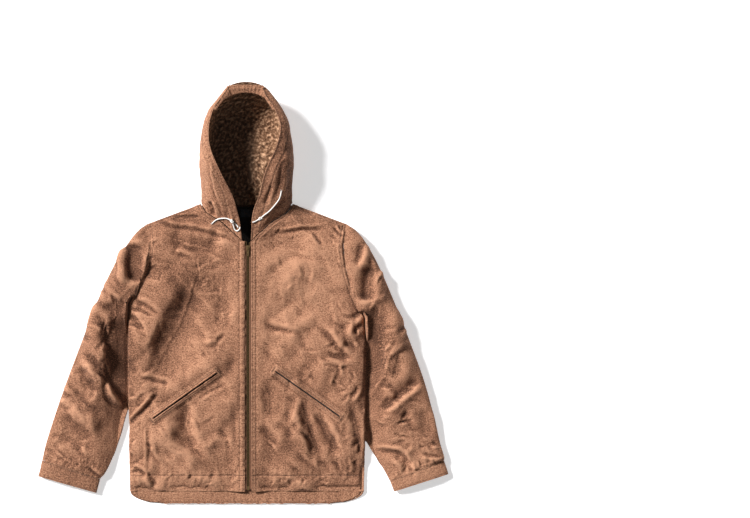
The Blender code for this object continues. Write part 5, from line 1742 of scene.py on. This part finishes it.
def cast(group, x, y, up=True):
    """Where the cloth is over or under this place: (z, normal) in millimetres, or None."""
    origin = Vector(place((x, y, 200.0 if up else -50.0)))
    way = Vector((0, 0, -1 if up else 1))
    best = None
    for tree in ground(group):
        spot, normal, *_ = tree.ray_cast(origin, way)
        if spot is not None and (best is None or (spot.z > best[0]) == up):
            best = (spot.z, normal)
    if best is None:
        return None
    normal = best[1] if (best[1].z > 0) == up else -best[1]
    return best[0] / MM, np.array(normal)


def ground_height(group, x, y):
    flat = [cast(group, a, b) for a, b in zip(np.ravel(x), np.ravel(y))]
    return np.array([c[0] if c else 0.0 for c in flat]).reshape(np.shape(x))


STITCH = {"length": 2.9, "step": 3.5, "radius": 0.42}


class Stitches:
    """Rows of stitches, gathered into one piece."""

    def __init__(self, name, group, up=True):
        self.name, self.group, self.up, self.rows = name, group, up, []

    def row(self, path):
        """Stitches along a plan path, on the cloth."""
        path = np.asarray(path, float)
        stops = np.arange(STITCH["step"] / 2, walk(path)[-1], STITCH["step"])
        half = STITCH["length"] / 2
        for a, b in zip(along(path, np.maximum(stops - half, 0)), along(path, stops + half)):
            middle = (a + b) / 2
            hit = cast(self.group, *middle[:2], self.up)
            ends = [cast(self.group, *p[:2], self.up) for p in (a, b)]
            if hit is None or None in ends or max(abs(e[0] - hit[0]) for e in ends) > 3.0:
                continue
            self.rows.append([(*a[:2], ends[0][0]), (*b[:2], ends[1][0]), hit[1]])

    def on(self, points, normals):
        """Stitches along a path in space with its normals."""
        points = np.asarray(points, float)
        stops = np.arange(STITCH["step"] / 2, walk(points)[-1] - STITCH["step"] / 2, STITCH["step"])
        half = STITCH["length"] / 2
        walked = walk(points)
        for s in stops:
            a, b = along(points, [s - half, s + half])
            n = normals[np.searchsorted(walked, s) - 1]
            self.rows.append([a, b, n])

    def build(self):
        """Each stitch is a four-sided rod with a point at both ends."""
        a, b, n = (np.array([r[k] for r in self.rows], float) for k in range(3))
        r = STITCH["radius"]
        way = unit(b - a, 1e-6)
        side = unit(np.cross(way, n), 1e-6)
        n = np.cross(side, way)
        rings = []
        for t in (0.16, 0.84):
            centre = a + (b - a) * t + n * (0.32 + r * 0.4)
            rings.append(np.stack([centre + side * r, centre + n * r, centre - side * r, centre - n * r], 1))
        tips = np.stack([a - n * 0.15, b - n * 0.15], 1)
        points = np.concatenate([tips, rings[0], rings[1]], axis=1)
        base = (np.arange(len(points)) * points.shape[1])[:, None, None]
        turns = [(k, (k + 1) % 4) for k in range(4)]
        tris = np.array([(0, 2 + n, 2 + k) for k, n in turns] + [(1, 6 + k, 6 + n) for k, n in turns])
        quads = np.array([(2 + k, 2 + n, 6 + n, 6 + k) for k, n in turns])
        faces = [(tris[None] + base).reshape(-1, 3), (quads[None] + base).reshape(-1, 4)]
        flat = points.reshape(-1, 3)
        add_mesh(self.name, flat, faces, THREAD, slot="canvas", cut=flat * MM)


def plan_offset(path, distance):
    path = np.asarray(path, float)[:, :2]
    return path + plan_left(path) * distance


def front_stitches():
    """Along the zip, hem, armholes, shoulders, neck and pockets."""
    rows = Stitches("stitches_front", "front")
    for side, sign in SIDES.items():
        edge = FRONT_EDGE[side]
        ys = np.linspace(4, ZIP_TOP - 2, 80)
        for at in EDGE_STITCH[side]:
            rows.row(np.stack([np.full(80, edge + sign * at), ys], 1))
        out = body_row(side, HEM_STITCH)[0][0]
        for y in (HEM_STITCH, 3.5):
            rows.row([(edge + sign * 1, y), (sign * (out - 5), y)])
        hole = armhole_plan(side, 16, 3)
        for at in (3.0, 9.5):
            rows.row(hole - np.array([sign * at, 0]))
        shoulder = np.array([(sign * out, y) for y, out, *_ in SHOULDER_ROWS], float)
        for at in (3.0, 9.5):
            rows.row(plan_offset(shoulder, sign * at))
        neck = np.array([(sign * out, y) for y, out in NECK_ROWS], float)
        for at in (2.5, 8.5):
            rows.row(plan_offset(neck, -sign * at))
        pocket_stitches(rows, side)
    rows.build()


def armhole_plan(side, above_armpit, below_tip):
    """The armhole's seam from above."""
    ys = np.linspace(ARMPIT[side] + above_armpit, SHOULDER_TIP - below_tip, 70)
    return np.stack([SIDES[side] * body_row(side, ys)[:, 0], ys], 1)


def pocket_stitches(rows, side):
    """Two rows round a pocket's frame, the inner along its length only, and a bar of three at each end."""
    ends = np.array(POCKETS[side], float) * (SIDES[side], 1)
    way = (ends[1] - ends[0]) / np.hypot(*(ends[1] - ends[0]))
    over = np.array([-way[1], way[0]]) * SIDES[side]
    reach, half = POCKET_FRAME
    a, b = ends
    for grow in (-2.2, -6.0):
        along_way, up, down = way * (reach + grow), over * (half + grow + 1), over * (half + grow - 1)
        corners = [a - along_way + up, b + along_way + up, b + along_way - down, a - along_way - down]
        for path in (corners[:2], corners[2:]) if grow < -3 else (corners + corners[:1],):
            rows.row(path)
    for at in (-3.2, -4.6, -6.0):
        for end, toward in ((a, -1), (b, 1)):
            middle = end + way * toward * (reach + at + 3)
            rows.row([middle + over * 7, middle - over * 6])


def back_stitches():
    """Along the centre back seam, the hem and the armholes, on the underside."""
    rows = Stitches("stitches_back", "back", up=False)
    for side, sign in SIDES.items():
        for at in (2.6, 9.0):
            rows.row([(sign * at, -22), (sign * at, 660)])
        rows.row([(sign * 4, HEM_DEPTH - TAIL_DROP), (sign * 262, HEM_DEPTH - TAIL_DROP)])
        hole = armhole_plan(side, 10, 5)
        for at in (4.0, 10.0):
            rows.row(hole - np.array([sign * at, 0]))
    rows.build()


def seam_rows():
    """All the topstitching that shows."""
    front_stitches()
    hood = Stitches("stitches_hood", "hood")
    for side in SIDES:
        for at, from_seam in ((3.0, False), (CASING, False), (2.6, True), (9.0, True)):
            hood.on(*level_line(HOOD_LINES_MADE[side], at, from_seam))
    hood.build()
    facing = Stitches("stitches_tail", "facing")
    xs = np.linspace(-255, 255, 120)
    facing.row(np.stack([xs, -TAIL_DROP + 4.0 + 12 * ease((np.abs(xs) - 215) / 60)], 1))
    facing.build()
    back_stitches()
    sleeve = Stitches("stitches_sleeves", "sleeve")
    for side in SIDES:
        for path, normals in SLEEVE_LINES[side]:
            shown = path[:, 1] < ARMPIT[side] - UNDERARM_HIDDEN
            sleeve.on(path[shown], normals[shown])
    sleeve.build()
    cuff = Stitches("stitches_cuffs", "cuff")
    for side in SIDES:
        for line in CUFF_LINES[side]:
            cuff.on(*line)
    cuff.build()


def level_line(piece, at, from_seam=False):
    """The line on a grid at this distance from its rim or its seam."""
    outer, normal, to_rim, start = piece
    distance = start if from_seam else to_rim[:, ::-1]
    points, normals = (g if from_seam else g[:, ::-1] for g in (outer, normal))
    path, found = [], []
    for line, n, d in zip(points, normals, distance):
        if d[-1] < at + 4:
            continue
        j = int(np.searchsorted(d, at))
        t = (at - d[j - 1]) / max(d[j] - d[j - 1], 1e-6)
        path.append(line[j - 1] * (1 - t) + line[j] * t)
        found.append(n[j])
    return np.array(path), np.array(found)


# ---------------------------------------------------------------- zip


def zip_height(y):
    return surface_z(np.zeros_like(np.asarray(y, float)), y) - TAPE_DEPTH


def zip_spread(y):
    return 0.15 + 2.4 * ease((np.asarray(y, float) - SLIDER_Y[0] - 2) / 14)


def build_zip():
    """The zip's tapes and teeth."""
    for side, sign in SIDES.items():
        ys = ZIP_BOTTOM + rolled(ZIP_TOP - ZIP_BOTTOM, 230)
        us = rolled(TAPE_WIDTH, 22)
        y, u = np.meshgrid(ys, us, indexing="ij")
        x = ZIP_CENTRE + sign * (zip_spread(y) + TOOTH_WIDTH + 0.3 + u)
        z = zip_height(y.ravel()).reshape(y.shape) + 0.5 + 0.2 * noise(x, y, 16, 131)
        z += 0.7 * np.exp(-((u - 1.2) / 1.0) ** 2)
        border = nearest(u, TAPE_WIDTH - u, y - ZIP_BOTTOM, ZIP_TOP - y)
        shell(
            f"woven_tape_{side}", np.stack([x, y, z], -1), border, (3, 300, FAR), 1.0, TAPE, cut_of(u, y),
            0 * x, slot="zip_tape", replaces=(f"zip_tape_{side}",),
        )
        build_teeth(side, sign)


def build_teeth(side, sign):
    """One row of brass teeth, each a rounded block with a waist, clamped on the tape's edge."""
    first = ZIP_BOTTOM + 10 + (0 if side == "left" else TOOTH_PITCH / 2)
    ys = np.arange(first, ZIP_TOP - 1, TOOTH_PITCH)
    outline = np.array([(-0.7, 0.42), (0.2, 0.42), (0.9, 0.62), (2.2, 0.62), (3.0, 0.45)])
    outline = np.concatenate([outline, outline[::-1] * (1, -1)])
    count = len(outline)
    points, quads, caps = [], [], []
    for i, (y, z, spread) in enumerate(zip(ys, zip_height(ys), zip_spread(ys))):
        for level, scale in ((-1.2, 0.8), (-0.8, 1.0), (0.8, 1.0), (1.2, 0.8)):
            across = ZIP_CENTRE + sign * (spread + 1.2 + (outline[:, 0] - 1.1) * scale)
            points.append(np.stack([across, y + outline[:, 1] * scale, np.full(count, z + level)], 1))
        base = i * 4 * count
        for k in range(count):
            n = (k + 1) % count
            for ring in range(3):
                a, b = base + ring * count, base + (ring + 1) * count
                quads.append((a + k, a + n, b + n, b + k))
        for ring, order in ((0, -1), (3, 1)):
            ids = [base + ring * count + k for k in range(count)][::order]
            for k in range(4):
                caps.append((ids[k], ids[k + 1], ids[count - 2 - k], ids[count - 1 - k]))
    quads = np.array(quads)
    caps = np.array(caps)
    if sign < 0:
        quads, caps = quads[:, ::-1], caps[:, ::-1]
    piece = add_mesh(
        f"brass_teeth_{side}", np.concatenate(points), [quads, caps], BRASS,
        slot="brass", replaces=(f"zip_teeth_{side}",),
    )
    piece.data.shade_flat()


# ---------------------------------------------------------------- cords


def cord_path(name):
    """Points along a cord that lies on the cloth, close together."""
    plan = np.array(CORD_PATHS[name], float)
    length = walk(plan)[-1]
    count = int(length / 1.1)
    path = through(plan, count)
    floor = ground_height("neck", path[:, 0], path[:, 1])
    reach = np.array([floor[max(0, i - 2) : i + 3].max() for i in range(count)])
    for _ in range(14):
        reach = np.convolve(np.pad(reach, 1, mode="edge"), [0.25, 0.5, 0.25], mode="valid")
    return np.column_stack([path, np.maximum(reach, floor) + CORD_DIAMETER / 2 * 0.92]), count, len(plan)


def tube(path, radii, sides, braid):
    """Points and faces of a tube round a path, with a braid's bumps, and its cut coordinates."""
    path = np.asarray(path, float)
    way = np.gradient(path, axis=0)
    way /= np.linalg.norm(way, axis=1, keepdims=True)
    side = unit(np.cross(way, np.array([0, 0, 1.0])), 1e-6)
    up = np.cross(side, way)
    walked = walk(path)
    turn = np.linspace(0, 2 * math.pi, sides, endpoint=False)
    wave = np.sin(turn[None] * 4 + walked[:, None] * 2.4) * np.sin(turn[None] * 4 - walked[:, None] * 2.4)
    r = radii[:, None] * (1 + braid * wave)
    points = path[:, None] + side[:, None] * (np.cos(turn) * r)[..., None]
    points = points + up[:, None] * (np.sin(turn) * r)[..., None]
    index = np.arange(len(path) * sides).reshape(len(path), sides)
    nexts = np.roll(index, -1, axis=1)
    quads = np.stack([index[:-1], nexts[:-1], nexts[1:], index[1:]], -1).reshape(-1, 4)
    first, last = len(path) * sides, len(path) * sides + 1
    caps = np.concatenate([
        np.stack([np.full(sides, first), nexts[0], index[0]], -1),
        np.stack([np.full(sides, last), index[-1], nexts[-1]], -1),
    ])
    flat = np.concatenate([points.reshape(-1, 3), path[:1], path[-1:]])
    across, down = np.repeat(turn[None] * 1.5, len(path), 0), np.repeat(walked[:, None], sides, 1)
    cut = np.concatenate([np.stack([across, down], -1).reshape(-1, 2), [[0, 0], [0, walked[-1]]]])
    return flat, quads, caps, np.column_stack([cut, np.zeros(len(cut))]) * MM


def add_tubes(name, tubes, material, **more):
    """One piece from several tubes."""
    points, quads, caps, cuts, base = [], [], [], [], 0
    for flat, q, c, cut in tubes:
        points.append(flat)
        quads.append(q + base)
        caps.append(c + base)
        cuts.append(cut)
        base += len(flat)
    return add_mesh(name, np.concatenate(points), [np.concatenate(quads), np.concatenate(caps)], material,
                    cut=np.concatenate(cuts), **more)


def build_cords():
    """The drawcord's free ends, with their knots and frayed tips."""
    made, paths = {}, {}
    for name in CORD_PATHS:
        path, count, bends = cord_path(name)
        paths[name] = path
        radius = np.full(count, CORD_DIAMETER / 2)
        cord = [tube(path, radius, 16, BRAID)]
        made[name] = add_tubes(f"cotton_{name}", cord, CORD, slot="cord", replaces=(name,))
        if name in KNOT_AT:
            at = int(round(KNOT_AT[name] * (count - 1) / (bends - 1)))
            made[name + "_knot"] = build_knot(name, path, at)
        if name != "cord_right_return":
            made[name + "_fray"] = build_fray(name, path)
    for name, extra in (("cord_right", ["cord_right_return"]), ("cord_left", [])):
        path = paths[name]


def build_knot(name, path, at):
    """An overhand knot: the cord wound twice round itself."""
    centre = path[at]
    way = path[at + 3] - path[at - 3]
    way /= np.linalg.norm(way)
    side = np.cross(way, [0, 0, 1.0])
    side /= np.linalg.norm(side)
    up = np.cross(side, way)
    turns = np.linspace(-2.15 * math.pi, 2.15 * math.pi, 70)
    swell = CORD_DIAMETER * 0.86
    coil = centre + np.outer(turns * 0.52, way) + np.outer(np.cos(turns) * swell, side)
    coil = coil + np.outer(np.sin(turns) * swell * 0.75 + 0.9, up)
    cord = [tube(coil, np.full(70, CORD_DIAMETER * 0.40), 12, BRAID)]
    return add_tubes(f"cotton_{name}_knot", cord, CORD, slot="cord")


def build_fray(name, path):
    """Loose fibres at the cord's cut end."""
    rng = np.random.default_rng(len(name))
    end, way = path[-1], path[-1] - path[-4]
    way /= np.linalg.norm(way)
    side = np.cross(way, [0, 0, 1.0])
    strands = []
    for _ in range(26):
        a, r = rng.uniform(0, 2 * math.pi), 1.25 * math.sqrt(rng.uniform())
        root = end - way * 1.0 + side * r * math.cos(a) + np.array([0, 0, r * math.sin(a)])
        spread = side * rng.normal(0, 0.28) + np.array([0, 0, rng.normal(-0.05, 0.16)])
        reach = rng.uniform(2.2, 4.6)
        line = [root + (way + spread * t) * reach * t for t in np.linspace(0, 1, 6)]
        line = [np.array([p[0], p[1], max(p[2], end[2] - 1.3)]) for p in line]
        strands.append(tube(np.array(line), np.linspace(0.22, 0.07, 6), 5, 0.0))
    return add_tubes(f"cotton_{name}_fray", strands, CORD, slot="cord")


# ---------------------------------------------------------------- the CAD's brass parts


def dress_cad_parts():
    """Brass parts that keep their CAD shape."""
    for node in ("zip_slider", "zip_pull", "zip_bottom_box"):
        piece = bpy.data.objects[node]
        piece.data.materials.clear()
        piece.data.materials.append(BRASS)


# ---------------------------------------------------------------- floor and light


def add_floor():
    """A pale floor just under the garment, which gives a little light of its own."""
    size = 12.0
    data = bpy.data.meshes.new("floor")
    corners = [(-size, -size, 0), (size, -size, 0), (size, size, 0), (-size, size, 0)]
    data.from_pydata(corners, [], [(0, 1, 2, 3)])
    floor = add_object("floor", data)
    floor.location.z = -0.0004
    s = Shader("pale_floor", Specular_IOR_Level=0.1, Emission_Strength=0.47)
    s.shader.inputs["Emission Color"].default_value = colour(1.0, 1.0, 1.0)
    spot = s.add("ShaderNodeTexCoord").outputs["Object"]
    base = s.mix(s.noise(spot, 3.0), colour(0.86, 0.86, 0.87), colour(0.88, 0.88, 0.885))
    data.materials.append(s.finish(base, s.ranged(s.noise(spot, 40.0), 0, 1, 0.85, 0.95)))


def add_light(name, way, softness, power, tint=(1, 1, 1)):
    """A distant soft light from this direction. softness is its width as an angle in degrees."""
    data = bpy.data.lights.new(name, "SUN")
    data.angle, data.energy, data.color = math.radians(softness), power, tint
    light = add_object(name, data)
    way = Vector(way).normalized()
    light.location = way * 4.0
    light.rotation_mode = "QUATERNION"
    light.rotation_quaternion = way.to_track_quat("Z", "Y")


def add_lights():
    """One key from the picture's upper left, a weak fill and a weak even sky."""
    add_light("key", KEY_WAY, 14.0, 7.2)
    add_light("fill", (0.7, -0.5, 1.6), 60.0, 0.25)
    world = bpy.data.worlds.new("studio")
    bpy.context.scene.world = world
    world.use_nodes = True
    background = world.node_tree.nodes["Background"]
    background.inputs["Color"].default_value = (1.0, 1.0, 1.0, 1.0)
    background.inputs["Strength"].default_value = 0.11
    view = bpy.context.scene.view_settings
    view.view_transform = "Standard"


add_floor()
add_lights()
build_fronts()
build_backs()
build_sleeves()
build_cuffs()
build_hood()
build_hem_facing()
build_label()
build_jets()
build_zip()
build_cords()
seam_rows()
dress_cad_parts()
